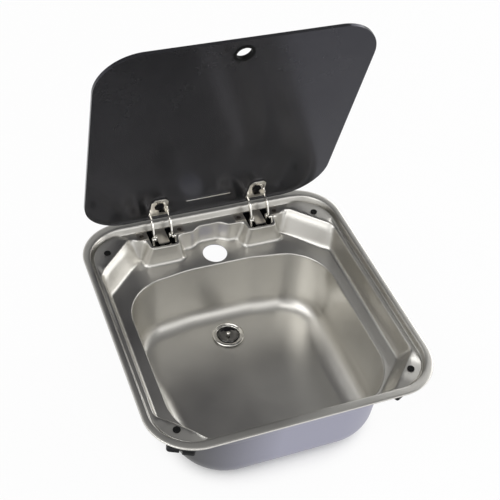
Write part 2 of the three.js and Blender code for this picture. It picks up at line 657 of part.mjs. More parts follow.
clampPlaces.forEach(([name, side, y]) => {
  add("fixing_screw_" + name, fixingScrew(side * CLAMP_X, y), "zinc");
  add("corner_buffer_" + name, buffer(side * CLAMP_X, y), "rubber");
  const turn = Math.sign(y) * parkedTurn * -1;
  const mesh = add("fixing_claw_" + name, dog(), "plastic");
  mesh.position.set(side * CLAMP_X, y, 0);
  mesh.rotation.z = (side > 0 ? 180 - turn : turn) * DEG;
});

// ---------------------------------------------------------------- lid
// The lid is drawn flat: X across, Y from the hinge edge, +Z out of its inner face.
const lid = new THREE.Group();
lid.position.set(0, ...LID_OPEN_EDGE);
lid.rotation.x = (180 - LID_SWING) * DEG;
sink.add(lid);

const clampBoltR = 3;
const glassHoleR = 5;
const lidOutline = rounded([
  [-LID_HALF_X, 0, LID_BACK_CORNER, CORNER_STEPS],
  [LID_HALF_X, 0, LID_BACK_CORNER, CORNER_STEPS],
  [LID_HALF_X, LID_LENGTH, LID_FRONT_CORNER, CORNER_STEPS],
  [-LID_HALF_X, LID_LENGTH, LID_FRONT_CORNER, CORNER_STEPS],
]);
const fingerY = LID_LENGTH - FINGER_HOLE_FROM_FRONT;
const grommetNeckR = (GROMMET_BORE_R + GROMMET_R) / 2;
function glassShape() {
  const shape = outline(lidOutline);
  shape.holes.push(hole(grommetNeckR + GAP, 0, fingerY, 24));
  hinges.forEach(([, x]) => shape.holes.push(hole(glassHoleR, x, STRIP_UP)));
  return shape;
}
const edge = 0.6;
const glass = new THREE.ExtrudeGeometry(glassShape(), {
  depth: LID_THICKNESS - 2 * edge,
  bevelThickness: edge,
  bevelSize: edge,
  bevelOffset: -edge,
  bevelSegments: 1,
}).translate(0, 0, edge - LID_THICKNESS);
add("glass_lid", glass, "glass", lid);

const lipZ = 0.9;
const lipBack = -LID_THICKNESS - GAP;
add(
  "finger_grommet",
  turned([[GROMMET_BORE_R + 0.4, lipBack - lipZ], [GROMMET_R - 0.5, lipBack - lipZ], [GROMMET_R, lipBack],
    [grommetNeckR, lipBack], [grommetNeckR, GAP], [GROMMET_R, GAP], [GROMMET_R - 0.5, GAP + lipZ],
    [GROMMET_BORE_R + 0.4, GAP + lipZ], [GROMMET_BORE_R, GAP], [GROMMET_BORE_R, lipBack],
    [GROMMET_BORE_R + 0.4, lipBack - lipZ]], 0, fingerY, 24),
  "rubber",
  lid,
);
const stripEnd = STRIP_LENGTH / 2;
const stripShape = roundedRectangle(-stripEnd, STRIP_UP - 1.3, stripEnd, STRIP_UP + 1.3, 0.6, 2);
add("lid_strip", plate(outline(stripShape), GAP, GAP + 0.8), "chrome", lid);

// ---------------------------------------------------------------- hinge linkage
function turn2([y, z], degrees) {
  const [c, s] = [Math.cos(degrees * DEG), Math.sin(degrees * DEG)];
  return [c * y - s * z, s * y + c * z];
}
// The pole: the fixed point of the swing that carries the open lid to the closed lid.
function pole() {
  const [y, z] = turn2(LID_OPEN_EDGE, LID_SWING);
  const [a, b] = [LID_CLOSED_EDGE[0] - y, LID_CLOSED_EDGE[1] - z];
  const [c, s] = [1 - Math.cos(LID_SWING * DEG), Math.sin(LID_SWING * DEG)];
  const size = c * c + s * s;
  return [(c * a - s * b) / size, (s * a + c * b) / size];
}
const swingPole = pole();
function fromPole(distance, angle) {
  const [y, z] = turn2([distance, 0], angle);
  return [swingPole[0] + y, swingPole[1] + z];
}
function crankPins({ pin, angle, ground }) {
  return { pin: fromPole(pin, angle), ground: fromPole(ground, angle + LID_SWING / 2) };
}
const crankA = crankPins(CRANK_A);
const crankB = crankPins(CRANK_B);

// A strap with round ends between two pins, as [ends, radii of its holes, half width].
function strapShape(from, to, holes, half = STRAP_HALF) {
  const angle = Math.atan2(to[1] - from[1], to[0] - from[0]);
  const shape = new THREE.Shape();
  shape.absarc(to[0], to[1], half, angle - Math.PI / 2, angle + Math.PI / 2);
  shape.absarc(from[0], from[1], half, angle + Math.PI / 2, angle + (3 * Math.PI) / 2);
  shape.closePath();
  [from, to].forEach(([y, z], i) => {
    if (holes[i]) shape.holes.push(hole(holes[i], y, z, 10));
  });
  return shape;
}

// Points on a smooth line through the route, offset to one side.
function offsetCurve(route, half, steps) {
  const curve = new THREE.SplineCurve(route.map(([y, z]) => new THREE.Vector2(y, z)));
  const sides = [1, -1].map((side) =>
    [...Array(steps + 1).keys()].map((k) => {
      const t = k / steps;
      const tangent = curve.getTangent(t);
      return curve.getPoint(t).add(new THREE.Vector2(-tangent.y, tangent.x).multiplyScalar(side * half(t)));
    }),
  );
  return [...sides[1], ...sides[0].reverse()];
}

const leafBottom = 14;
const leafTop = 57.5;
const leafHalf = [17.2, 14]; // at the bottom and at the top
const padThickness = 0.5;
const leafZ = GAP + padThickness + GAP;
const leafThickness = 1.4;

// A point of the lid's own plane, as y and z of the sink.
function lidPoint(along, out) {
  const [y, z] = turn2([along, out], 180 - LID_SWING);
  return [LID_OPEN_EDGE[0] + y, LID_OPEN_EDGE[1] + z];
}
const neckRoute = [
  crankA.pin,
  crankB.pin,
  [crankB.pin[0] + 4.2, crankB.pin[1] + 7],
  [crankB.pin[0] + 8.7, crankB.pin[1] + 15],
  [crankB.pin[0] + 14.7, crankB.pin[1] + 21.2],
  lidPoint(leafBottom + 6, leafZ + 3.4),
  lidPoint(leafBottom + 17, leafZ + 2.2),
];
function neckShape() {
  const points = offsetCurve(neckRoute, (t) => NECK_HALF - 1.4 * THREE.MathUtils.smoothstep(t, 0.75, 1), 16);
  return outline(points);
}
const openHoleR = PIN_R + COUPLER_SLACK;
function cheek(low, high) {
  const layers = [
    sidePlate(neckShape(), low, high),
    crossPin(STRAP_HALF, low, high, crankA.pin, 14),
    crossPin(STRAP_HALF + 0.6, low, high, crankB.pin, 14),
  ];
  const holes = [
    crossPin(PIN_R + PIN_CLEARANCE, low - 1, high + 1, crankA.pin),
    crossPin(openHoleR, low - 1, high + 1, crankB.pin),
  ];
  return cut(join(...layers), ...holes);
}
function leaf() {
  const shape = outline(rounded([
    [-leafHalf[0], leafBottom, 3, 2],
    [leafHalf[0], leafBottom, 3, 2],
    [leafHalf[1], leafTop, 7, 4],
    [-leafHalf[1], leafTop, 7, 4],
  ]));
  shape.holes.push(hole(clampBoltR + GAP, 0, STRIP_UP));
  return plate(shape, leafZ, leafZ + leafThickness);
}

const layers = {
  crankB: [INNER_LAYER, INNER_LAYER + STRAP],
  cheek: [INNER_LAYER + LAYER, INNER_LAYER + LAYER + STRAP],
  crankA: [INNER_LAYER + 2 * LAYER, INNER_LAYER + 2 * LAYER + STRAP],
};
const lidToWorld = new THREE.Matrix4()
  .makeTranslation(0, ...LID_OPEN_EDGE)
  .multiply(new THREE.Matrix4().makeRotationX((180 - LID_SWING) * DEG));

function hingeArm() {
  const cheeks = [-1, 1].map((side) => {
    const [low, high] = layers.cheek;
    return side > 0 ? cheek(low, high) : cheek(-high, -low);
  });
  return join(...cheeks, leaf().applyMatrix4(lidToWorld));
}

function crankAPiece() {
  const [low, high] = layers.crankA;
  const holeR = PIN_R + PIN_CLEARANCE;
  const pieces = [-1, 1].flatMap((side) => {
    const [x0, x1] = side > 0 ? [low, high] : [-high, -low];
    const [p0, p1] = side > 0 ? [layers.cheek[0] - GAP, low + 1] : [-low - 1, GAP - layers.cheek[0]];
    return [
      sidePlate(strapShape(crankA.ground, crankA.pin, [holeR, 0]), x0, x1, 3),
      crossPin(PIN_R, p0, p1, crankA.pin),
    ];
  });
  const sleeve = crossPin(SLEEVE_R, -low - 0.5, low + 0.5, crankA.ground, 12);
  const bore = crossPin(holeR, -high - 1, high + 1, crankA.ground);
  return join(...pieces, cut(sleeve, bore));
}

function crankBPiece(side) {
  const [low, high] = layers.crankB;
  const [x0, x1] = side > 0 ? [low, high] : [-high, -low];
  const [p0, p1] = side > 0 ? [high - 1, layers.cheek[1] + GAP] : [-layers.cheek[1] - GAP, -high + 1];
  const strap = sidePlate(strapShape(crankB.ground, crankB.pin, [PIN_R + PIN_CLEARANCE, 0]), x0, x1, 3);
  return join(strap, crossPin(PIN_R, p0, p1, crankB.pin));
}

// Black tray under the shelf that carries the ground pins.
const housingTop = SHELF_Z - SHEET - GAP;
const housingHalf = SLOT_HALF + 0.6;
const earHalf = HINGE_PLATE_HALF - 1;
const earBottom = housingTop - 3;
const bearingHalf = [INNER_LAYER - 2.4, INNER_LAYER - 0.6];
function housing() {
  const [front, back] = [HOUSING_FRONT_Y, HOUSING_BACK_Y];
  const wall = HOUSING_WALL;
  const tray = roundedRectangle(-housingHalf, front, housingHalf, back, 2.5, 3);
  const body = plate(outline(tray), HOUSING_BOTTOM_Z, housingTop);
  const inside = plate(
    outline(roundedRectangle(-housingHalf + wall, front + 0.6, housingHalf - wall, back - wall, 2, 3)),
    HOUSING_BOTTOM_Z + wall,
    housingTop + 1,
  );
  const flange = roundedRectangle(-earHalf, PLATE_FRONT_Y + 2, earHalf, PLATE_BACK_Y, 3, 3);
  const ears = plate(outline(flange), earBottom, housingTop);
  const ribs = [-1, 1].map((side) => {
    const rib = new THREE.Shape([
      new THREE.Vector2(side * (housingHalf - 0.5), earBottom + 0.5),
      new THREE.Vector2(side * (earHalf - 8), earBottom + 0.5),
      new THREE.Vector2(side * (housingHalf - 0.5), earBottom - 14),
    ]);
    return plate(rib, -1, 1).rotateX(90 * DEG).translate(0, PLATE_BACK_Y - 3, 0);
  });
  const shell = solid(join(body, ears, ...ribs)).subtract(solid(inside));
  const ear = (low, high) => {
    const shape = new THREE.Shape();
    shape.absarc(crankB.ground[0], crankB.ground[1], 3.4, 0, Math.PI);
    shape.lineTo(crankB.ground[0] - 4.5, HOUSING_BOTTOM_Z + 0.5);
    shape.lineTo(crankB.ground[0] + 4.5, HOUSING_BOTTOM_Z + 0.5);
    shape.closePath();
    return sidePlate(shape, low, high, 4);
  };
  const bearings = [ear(...bearingHalf), ear(-bearingHalf[1], -bearingHalf[0])].map(solid);
  const bores = [
    crossPin(PIN_R + PIN_CLEARANCE, -housingHalf - 1, housingHalf + 1, crankA.ground),
    crossPin(PIN_R + PIN_CLEARANCE, -INNER_LAYER, INNER_LAYER, crankB.ground),
    ...[-1, 1].map((side) => plateScrewHole(side * PLATE_SCREW_X, earBottom, 5)),
  ];
  const all = [shell, ...bearings].reduce((a, b) => a.add(b));
  return geometryOf(bores.map(solid).reduce((rest, bore) => rest.subtract(bore), all));
}

function basePlate() {
  const shape = rounded([
    [-HINGE_PLATE_HALF, PLATE_FRONT_Y, 2.5, 2],
    [HINGE_PLATE_HALF, PLATE_FRONT_Y, 2.5, 2],
    [HINGE_PLATE_HALF, PLATE_BACK_Y, 2.5, 2],
    [-HINGE_PLATE_HALF, PLATE_BACK_Y, 2.5, 2],
  ]);
  const low = SHELF_Z + GAP;
  const high = low + PLATE_THICKNESS;
  const legs = [-1, 1].map((side) => {
    const [a, b] = [side * (TONGUE_HALF - 0.3), side * (SLOT_HALF + 0.5)];
    const leg = roundedRectangle(Math.min(a, b), PLATE_FRONT_Y - 5, Math.max(a, b), PLATE_BACK_Y - 1.1, 1.5, 2);
    return plate(outline(leg), low - 1, high + 1);
  });
  const holes = [-1, 1].map((side) => plateScrewHole(side * PLATE_SCREW_X, low, PLATE_THICKNESS + 1));
  return cut(plate(outline(shape), low, high), ...legs, ...holes);
}

function plateScrew(x) {
  const seat = SHELF_Z + GAP + PLATE_THICKNESS + GAP / 2;
  return turned([[0, earBottom - 2], [1.2, earBottom - 2], [1.6, earBottom - 1], [1.6, seat], [3.6, seat],
    [3.1, seat + 0.7], [1.1, seat + 0.9], [0, seat + 0.2]], x, PLATE_SCREW_Y, 10);
}

// Torsion spring round the inner ground pin: one leg stands on the tray's floor, the other bears on the outer
// crank's sleeve. The two hinges have springs wound opposite ways.
function torsionSpring(side) {
  const [y, z] = crankB.ground;
  const [toY, toZ] = [crankA.ground[0] - y, crankA.ground[1] - z];
  const coilR = PIN_R + GAP + SPRING_WIRE_R;
  const apart = Math.hypot(toY, toZ);
  const spread = Math.asin((SLEEVE_R + GAP + SPRING_WIRE_R - coilR) / apart);
  const leave = (Math.atan2(toZ, toY) - spread) / DEG + 360 - 90;
  const end = leave + 360 * SPRING_TURNS;
  const pitch = 2 * SPRING_WIRE_R + GAP;
  const half = (pitch * end) / 720;
  const steps = Math.round(end / 45);
  const floorLeg = z - (HOUSING_BOTTOM_Z + HOUSING_WALL) - GAP;
  const points = [];
  const place = (x, angle, reach) => {
    const [a, b] = turn2([coilR, reach], angle);
    points.push(new THREE.Vector3(side * x, y + a, z + b));
  };
  place(-half, 0, -floorLeg);
  place(-half, 0, -floorLeg / 2);
  for (let k = 0; k <= steps; k++) place(half * ((2 * k) / steps - 1), (end * k) / steps, 0);
  place(half, end, apart / 2);
  place(half, end, apart + 1.5);
  const path = new THREE.CatmullRomCurve3(points, false, "centripetal");
  const options = { steps: points.length + 10, extrudePath: path, bevelEnabled: false };
  return new THREE.ExtrudeGeometry(outline(ring(SPRING_WIRE_R, 0, 0, 6)), options);
}

function clampPlate() {
  const [low, high] = [-LID_THICKNESS - GAP - 2, -LID_THICKNESS - GAP];
  const shape = outline(roundedRectangle(-14, leafBottom + 2, 14, leafTop, 7, 4));
  shape.holes.push(hole(clampBoltR + GAP, 0, STRIP_UP));
  return plate(shape, low, high);
}
function clampPad() {
  const shape = outline(rounded([
    [-leafHalf[0] + 1, leafBottom + 1, 3, 2],
    [leafHalf[0] - 1, leafBottom + 1, 3, 2],
    [leafHalf[1] - 1, leafTop - 1, 6, 3],
    [-leafHalf[1] + 1, leafTop - 1, 6, 3],
  ]));
  shape.holes.push(hole(clampBoltR + GAP, 0, STRIP_UP));
  return plate(shape, GAP, GAP + padThickness);
}
function clampBolt() {
  const seat = leafZ + leafThickness + GAP;
  const end = -LID_THICKNESS - GAP - 2 - 1;
  return turned([[0, end], [clampBoltR, end], [clampBoltR, seat], [7.4, seat], [7.4, seat + 0.8],
    [6.4, seat + 1.4], [3.4, seat + 1.5], [3, seat + 0.7], [0, seat + 0.7]], 0, STRIP_UP, 16);
}

hinges.forEach(([name, x]) => {
  const at = new THREE.Group();
  at.position.x = x;
  sink.add(at);
  const onLid = new THREE.Group();
  onLid.position.x = x;
  lid.add(onLid);
  add("hinge_arm_" + name, hingeArm(), "chrome", at);
  add("clamp_pad_" + name, clampPad(), "rubber", onLid);
  add("clamp_plate_" + name, clampPlate(), "zinc", onLid);
  add("clamp_bolt_" + name, clampBolt(), "plastic", onLid);
  add("hinge_crank_a_" + name, crankAPiece(), "chrome", at);
  add("hinge_crank_b_" + name + "_outer", crankBPiece(Math.sign(x)), "chrome", at);
  add("hinge_crank_b_" + name + "_inner", crankBPiece(-Math.sign(x)), "chrome", at);
  const [pinA, pinB] = [housingHalf - 0.1, layers.crankB[1] + 0.2];
  add("ground_pin_a_" + name, crossPin(PIN_R, -pinA, pinA, crankA.ground), "zinc", at);
  add("ground_pin_b_" + name, crossPin(PIN_R, -pinB, pinB, crankB.ground), "zinc", at);
  add("hinge_spring_" + name, torsionSpring(Math.sign(x)), "zinc", at);
  add("hinge_housing_" + name, housing(), "plastic", at);
  add("hinge_plate_" + name, basePlate(), "zinc", at);
  add("plate_screw_" + name + "_outer", plateScrew(Math.sign(x) * PLATE_SCREW_X), "zinc", at);
  add("plate_screw_" + name + "_inner", plateScrew(-Math.sign(x) * PLATE_SCREW_X), "zinc", at);
});

sink.position.z = SHEET - BOWL_FLOOR_Z;
export default sink;
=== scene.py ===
"""Looks of a drop-in caravan sink: satin steel pressing, smoked glass lid and two linkage hinges.

Sizes are in millimetres, with z = 0 at the lower edge of the rim, and become metres when a mesh is made.
"""

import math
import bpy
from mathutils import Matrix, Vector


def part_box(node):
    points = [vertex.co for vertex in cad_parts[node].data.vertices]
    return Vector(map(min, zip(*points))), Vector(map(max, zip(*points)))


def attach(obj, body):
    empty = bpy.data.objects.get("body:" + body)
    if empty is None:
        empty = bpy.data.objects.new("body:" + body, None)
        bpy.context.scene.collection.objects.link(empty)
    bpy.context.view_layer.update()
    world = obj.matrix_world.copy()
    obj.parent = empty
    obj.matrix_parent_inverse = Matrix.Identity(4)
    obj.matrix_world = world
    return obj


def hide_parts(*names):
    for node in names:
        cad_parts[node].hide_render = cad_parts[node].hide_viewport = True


bl_info = {
    "name": "Caravan sink with glass lid",
    "version": (1, 0, 0),
    "blender": (4, 5, 0),
    "location": "3D View > Sidebar > Sink",
    "description": "Builds the sink's pressing, drain, fixings, lid and hinges with their finishes",
    "category": "Object",
}

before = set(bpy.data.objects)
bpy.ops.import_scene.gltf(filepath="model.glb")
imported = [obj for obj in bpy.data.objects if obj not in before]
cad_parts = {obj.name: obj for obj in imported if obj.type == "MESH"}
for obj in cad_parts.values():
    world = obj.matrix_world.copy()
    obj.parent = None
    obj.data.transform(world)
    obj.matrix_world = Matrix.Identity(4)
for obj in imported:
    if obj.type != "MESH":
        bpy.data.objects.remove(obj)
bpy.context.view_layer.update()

from contextlib import contextmanager

import bmesh
import bpy
import numpy as np
from bpy.props import FloatProperty, FloatVectorProperty, IntProperty, PointerProperty
from mathutils import Matrix, Vector
from mathutils.geometry import delaunay_2d_cdt

GAP = 0.3
SEAL_BELOW_RIM = 1.0
RIM_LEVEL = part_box("rim_seal")[0].z * 1000 + SEAL_BELOW_RIM

# pressing
SHEET = 0.8
RIM_HALF = (210, 220)
RIM_CORNER = 70
RIM_CROWN = 2.5
BAND_SIDE, BAND_FRONT, BAND_BACK = 10.6, 13.6, 15.5
SHELF_Z = -8
PAD_RISE = 3
PAD_Z = SHELF_Z + PAD_RISE
DECK_BACK_Z, DECK_BOWL_Z = -40.5, -43
BOWL_HALF_X, BOWL_FRONT_Y, BOWL_BACK_Y, BOWL_SHOULDER_Y = 161, -190, 131.8, 117
BOWL_FRONT_CORNER, BOWL_BACK_CORNER = 87, 72
BOWL_FLOOR_Z = -150
BOWL_DRAFT, BOWL_BACK_FILLET, BOWL_FRONT_FILLET, BOWL_EDGE_FILLET = 5, 25, 43, 2.6
TAP_HOLE_R, TAP_HOLE_Y = 19.3, 155.5
DRAIN_Y, DRAIN_HOLE_R = 75, 21
CLAMP_HOLE_R = 2.8
FIXINGS = {
    "front_left": (-170.5, -176),
    "front_right": (170.5, -176),
    "back_left": (-170.5, 165.5),
    "back_right": (170.5, 165.5),
}

# lid
LID_HALF_X, LID_LENGTH, LID_THICKNESS = 196.5, 397.8, 5
LID_FRONT_CORNER, LID_BACK_CORNER = 64, 70
LID_SWING = 73
LID_EDGE = (209.7, 4.85)
FINGER_Y = 373.1
FINGER_R = 13.2
STRIP_UP = 38
LID_CLOSED_Z = -3

# hinges: the pins as (y, z)
HINGE_X = {"left": -80, "right": 80}
PIN_A, GROUND_A = (169.747, 0.338), (162.926, -27.846)
PIN_B, GROUND_B = (175.290, -0.993), (174.489, -22.940)
PIN_R, EYE_R, PIN_B_EYE_R, BUSH_R = 1.5, 1.75, 2.4, 2.8
PIN_B_HALF = 12.6
STRAP, STRAP_HALF = 2.4, 3.1
CRANK_B_X, CHEEK_X, CRANK_A_X = 10.0, 13.2, 16.4
NECK_HALF = 3.5
HOUSING_HALF = 20.9
LEAF_Z, LEAF_THICKNESS = 1.1, 1.4
BOLT_HOLE_R = 3.3
TONGUE_FRONT = 166.0
PLATE_HOLES = [(side * 30.5, 188) for side in (-1, 1)]
PLATE_HOLE_R = 2.1


class SinkSizes(bpy.types.PropertyGroup):
    """Sizes of the sink that a user may change."""

    edge: FloatProperty(name="Edge rounding", description="Rounding of the cut metal edges",
                        default=0.00025, min=0.00005, max=0.001, subtype="DISTANCE", unit="LENGTH")
    grid: FloatProperty(name="Surface grid", description="Spacing of the points in the sheet's flat areas",
                        default=0.005, min=0.003, max=0.02, subtype="DISTANCE", unit="LENGTH")
    turns: FloatProperty(name="Spring turns", description="Turns of each torsion spring",
                         default=4.3, min=2, max=8)
    spokes: IntProperty(name="Strainer spokes", description="Bars of the strainer", default=8, min=4, max=16)


def colour(name, description, default):
    return FloatVectorProperty(name=name, description=description, subtype="COLOR", size=3, default=default,
                               min=0, max=1)


class SinkColours(bpy.types.PropertyGroup):
    """Colours of the sink's finishes."""

    # Painted reflection in part: the grey is the steel's own colour, and its warm tint stands in for warm
    # surroundings mirrored in the bowl.
    steel: colour("Steel", "Satin stainless steel", (0.62, 0.606, 0.57))
    # Painted reflection: the underside is the same steel as the top, and this darker, bluer colour stands in
    # for the bluish floor mirrored in it.
    outside_painted_reflection: colour("Outside", "Underside of the sheet, cooler than the top", (0.37, 0.37, 0.455))
    chrome: colour("Chrome", "Bright plated hinges and drain", (0.86, 0.84, 0.79))
    zinc: colour("Zinc", "Zinc plate", (0.42, 0.40, 0.37))
    glass: colour("Glass", "Smoked glass", (0.026, 0.026, 0.027))
    rubber: colour("Rubber", "Black rubber", (0.005, 0.005, 0.005))
    plastic: colour("Plastic", "Black plastic", (0.005, 0.005, 0.006))


# ---------------------------------------------------------------- shapes as (points, faces)
def upright(x=0.0, y=0.0):
    return lambda p: p + np.array((x, y, 0.0))


def crosswise(y, z, x=0.0):
    """A shape turned about X: its own axes lie along Y, Z and X."""
    return lambda p: np.column_stack((x + p[:, 2], y + p[:, 0], z + p[:, 1]))


def lid_point(up, out):
    """Y and Z of a point on the open lid, up from its hinge edge and out of its inner face."""
    lean = math.radians(180 - LID_SWING)
    c, s = math.cos(lean), math.sin(lean)
    return LID_EDGE[0] + c * up - s * out, LID_EDGE[1] + s * up + c * out


def on_lid(x=0.0, along=0.0):
    """A shape on the open lid: X across, Y up from the hinge edge, Z out of the inner face."""
    return lambda p: np.column_stack((x + p[:, 0], *lid_point(along + p[:, 1], p[:, 2])))


def together(*shapes):
    points, faces, start = [], [], 0
    for p, f in shapes:
        points.append(p)
        faces += [[start + i for i in face] for face in f]
        start += len(p)
    return np.vstack(points), faces


def eased(points, setback, steps=3, closed=False):
    """A polyline with each corner rounded off, starting at most setback from the corner."""
    p = np.array(points, float)
    out = []
    last = len(p) - 1
    for i, here in enumerate(p):
        if not closed and i in (0, last):
            out.append(here)
            continue
        before, after = p[i - 1], p[(i + 1) % len(p)]
        a, b = before - here, after - here
        la, lb = np.linalg.norm(a), np.linalg.norm(b)
        reach = min(setback, 0.45 * la, 0.45 * lb)
        start, end = here + a / la * reach, here + b / lb * reach
        for t in np.linspace(0, 1, steps + 1):
            out.append((1 - t) ** 2 * start + 2 * t * (1 - t) * here + t * t * end)
    return np.array(out)


def turned(profile, steps=48, place=upright()):
    """A turned shape from a profile of (radius, height), from axis to axis or closed on itself."""
    profile = [(float(r), float(h)) for r, h in profile]
    closed = np.allclose(profile[0], profile[-1])
    if closed:
        profile = profile[:-1]
    points, rings = [], []
    turn = np.arange(steps) * 2 * math.pi / steps
    for r, h in profile:
        if r < 1e-6:
            rings.append([len(points)])
            points.append((0, 0, h))
        else:
            rings.append(list(range(len(points), len(points) + steps)))
            points += [(r * math.cos(a), r * math.sin(a), h) for a in turn]
    faces = []
    pairs = list(zip(rings, rings[1:])) + ([(rings[-1], rings[0])] if closed else [])
    for low, high in pairs:
        for i in range(steps):
            j = (i + 1) % steps
            face = [low[i % len(low)], low[j % len(low)], high[j % len(high)], high[i % len(high)]]
            face = list(dict.fromkeys(face))
            if len(face) > 2:
                faces.append(face)
    return place(np.array(points, float)), faces


def arc(before, here, after, r, steps):
    """The points of a round corner between two straight lines."""
    before, here, after = (np.array(p[:2], float) for p in (before, here, after))
    a, b = here - before, after - here
    a, b = a / np.linalg.norm(a), b / np.linalg.norm(b)
    turn = math.atan2(a[0] * b[1] - a[1] * b[0], a @ b)
    start = here - a * r * math.tan(abs(turn) / 2)
    centre = start + np.array((-a[1], a[0])) * math.copysign(r, turn)
    x, y = start - centre
    angles = [(math.cos(t), math.sin(t)) for t in np.linspace(0, turn, steps + 1)]
    return [centre + np.array((c * x - s * y, s * x + c * y)) for c, s in angles]


def rounded(corners, steps=6):
    """A closed outline from corners (x, y, radius)."""
    out = []
    for i, (x, y, r) in enumerate(corners):
        after = corners[(i + 1) % len(corners)]
        out += arc(corners[i - 1], (x, y), after, r, steps) if r else [np.array((x, y), float)]
    return np.array(out)


def box_outline(x0, y0, x1, y1, r, steps=6):
    return rounded([(x0, y0, r), (x1, y0, r), (x1, y1, r), (x0, y1, r)], steps)


def circle(r, x=0.0, y=0.0, steps=48):
    turn = np.arange(steps) * 2 * math.pi / steps
    return np.column_stack((x + r * np.cos(turn), y + r * np.sin(turn)))


def inside(points, loop):
    """Which points lie inside a closed loop."""
    x, y = points[:, 0], points[:, 1]
    hit = np.zeros(len(points), bool)
    for (x0, y0), (x1, y1) in zip(loop, np.roll(loop, -1, axis=0)):
        if y0 != y1:
            hit ^= ((y0 > y) != (y1 > y)) & (x < (x1 - x0) * (y - y0) / (y1 - y0) + x0)
    return hit


def distance_to(points, loops):
    best = np.full(len(points), 1e9)
    for loop in loops:
        for a, b in zip(loop, np.roll(loop, -1, axis=0)):
            d = b - a
            length = d @ d
            if length < 1e-12:
                continue
            t = np.clip(((points - a) @ d) / length, 0, 1)
            best = np.minimum(best, np.hypot(*(points - a - t[:, None] * d).T))
    return best


def filled(outer, holes=(), grid=0.0):
    """Triangles between an outline and its holes, with a grid of points inside where a grid size is given."""
    loops = [np.asarray(outer)[:, :2], *[np.asarray(h)[:, :2] for h in holes]]
    points = np.vstack(loops)
    edges, start = [], 0
    for loop in loops:
        n = len(loop)
        edges += [(start + i, start + (i + 1) % n) for i in range(n)]
        start += n
    if grid:
        lo, hi = points.min(0), points.max(0)
        rows = []
        for k, y in enumerate(np.arange(lo[1], hi[1], grid * 0.87)):
            x = np.arange(lo[0] + (k % 2) * grid / 2, hi[0], grid)
            rows.append(np.column_stack((x, np.full(len(x), y))))
        field = np.vstack(rows)
        keep = inside(field, loops[0])
        for loop in loops[1:]:
            keep &= ~inside(field, loop)
        field = field[keep]
        field = field[distance_to(field, loops) > grid * 0.45]
        points = np.vstack((points, field))
    verts, _, faces, origin, _, _ = delaunay_2d_cdt([Vector(p) for p in points], edges, [], 0, 1e-6, True)
    verts = np.array([tuple(v) for v in verts])
    middle = np.array([verts[list(f)].mean(0) for f in faces])
    keep = inside(middle, loops[0])
    for loop in loops[1:]:
        keep &= ~inside(middle, loop)
    if not all(origin):
        raise ValueError("an outline crosses itself or another one")
    source = [ids[0] for ids in origin]
    triangles = []
    for face, kept in zip(faces, keep):
        if not kept:
            continue
        a, b, c = (points[source[i]] for i in face)
        up = (b[0] - a[0]) * (c[1] - a[1]) - (b[1] - a[1]) * (c[0] - a[0])
        ids = [source[i] for i in face]
        triangles.append(ids if up > 0 else ids[::-1])
    return points, triangles


def slab(outer, holes, low, high, place=upright()):
    """A plate with the given outline between two heights."""
    flat, caps = filled(outer, holes)
    n = len(flat)
    points = np.vstack([np.column_stack((flat, np.full(n, z))) for z in (low, high)])
    faces = [[i + n for i in t] for t in caps] + [t[::-1] for t in caps]
    start = 0
    for k, loop in enumerate([outer, *holes]):
        count = len(loop)
        for i in range(count):
            a, b = start + i, start + (i + 1) % count
            wall = [a, b, b + n, a + n]
            faces.append(wall if k == 0 else wall[::-1])
        start += count
    return place(points), faces


# ---------------------------------------------------------------- objects
@contextmanager
def editing(mesh):
    """A mesh as a bmesh that is written back at the end."""
    bm = bmesh.new()
    bm.from_mesh(mesh)
    yield bm
    bm.to_mesh(mesh)
    bm.free()


def linked(name, data):
    obj = bpy.data.objects.new(name, data)
    bpy.context.scene.collection.objects.link(obj)
    return obj


def make_object(name, shape, materials, mark=35, repair=True):
    points, faces = shape
    mesh = bpy.data.meshes.new(name)
    lifted = (points + np.array((0, 0, RIM_LEVEL))) / 1000
    mesh.from_pydata(lifted.tolist(), [], [list(map(int, f)) for f in faces])
    if repair:
        with editing(mesh) as bm:
            bmesh.ops.remove_doubles(bm, verts=bm.verts, dist=1e-7)
            bmesh.ops.recalc_face_normals(bm, faces=bm.faces)
    for m in materials if isinstance(materials, (list, tuple)) else [materials]:
        mesh.materials.append(m)
    mesh.shade_smooth()
    mesh.set_sharp_from_angle(angle=math.radians(mark))
    return linked(name, mesh)


def with_edges(obj, width, segments=2, angle=40):
    bevel = obj.modifiers.new("Edges", "BEVEL")
    bevel.width = width
    bevel.segments = segments
    bevel.limit_method = "ANGLE"
    bevel.angle_limit = math.radians(angle)
    bevel.use_clamp_overlap = True
    bevel.miter_outer = "MITER_ARC"
    return obj


def made_plain(obj, mark=35):
    """The object with its modifiers turned into a plain mesh."""
    bpy.context.view_layer.update()
    graph = bpy.context.evaluated_depsgraph_get()
    mesh = bpy.data.meshes.new_from_object(obj.evaluated_get(graph))
    old = obj.data
    obj.modifiers.clear()
    obj.data = mesh
    mesh.name = obj.name
    if old.users == 0:
        bpy.data.meshes.remove(old)
    mesh.shade_smooth()
    mesh.set_sharp_from_angle(angle=math.radians(mark))
    return obj


def settled(obj, body, slot, *nodes):
    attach(obj, body)
    if nodes:
        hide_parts(*nodes)
    return obj


def piece(name, shape, look, body, slot, *nodes, mark=35, edge=0, segments=2):
    """A finished piece, with its edges rounded where a width is given."""
    obj = make_object(name, shape, finish(look), mark)
    if edge:
        made_plain(with_edges(obj, edge, segments))
    return settled(obj, body, slot, *nodes)


def refined(node, name, material, width=0.0003, mark=35):
    """A copy of a solid of the frame, with its flat faces merged and its edges rounded."""
    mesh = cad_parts[node].data.copy()
    with editing(mesh) as bm:
        bmesh.ops.remove_doubles(bm, verts=bm.verts, dist=2e-6)
        bmesh.ops.dissolve_limit(bm, angle_limit=math.radians(1), verts=bm.verts, edges=bm.edges)
    mesh.materials.clear()
    mesh.materials.append(material)
    return made_plain(with_edges(linked(name, mesh), width), mark)


# ---------------------------------------------------------------- finishes
NOISE_RANGE = (0.3, 0.7)


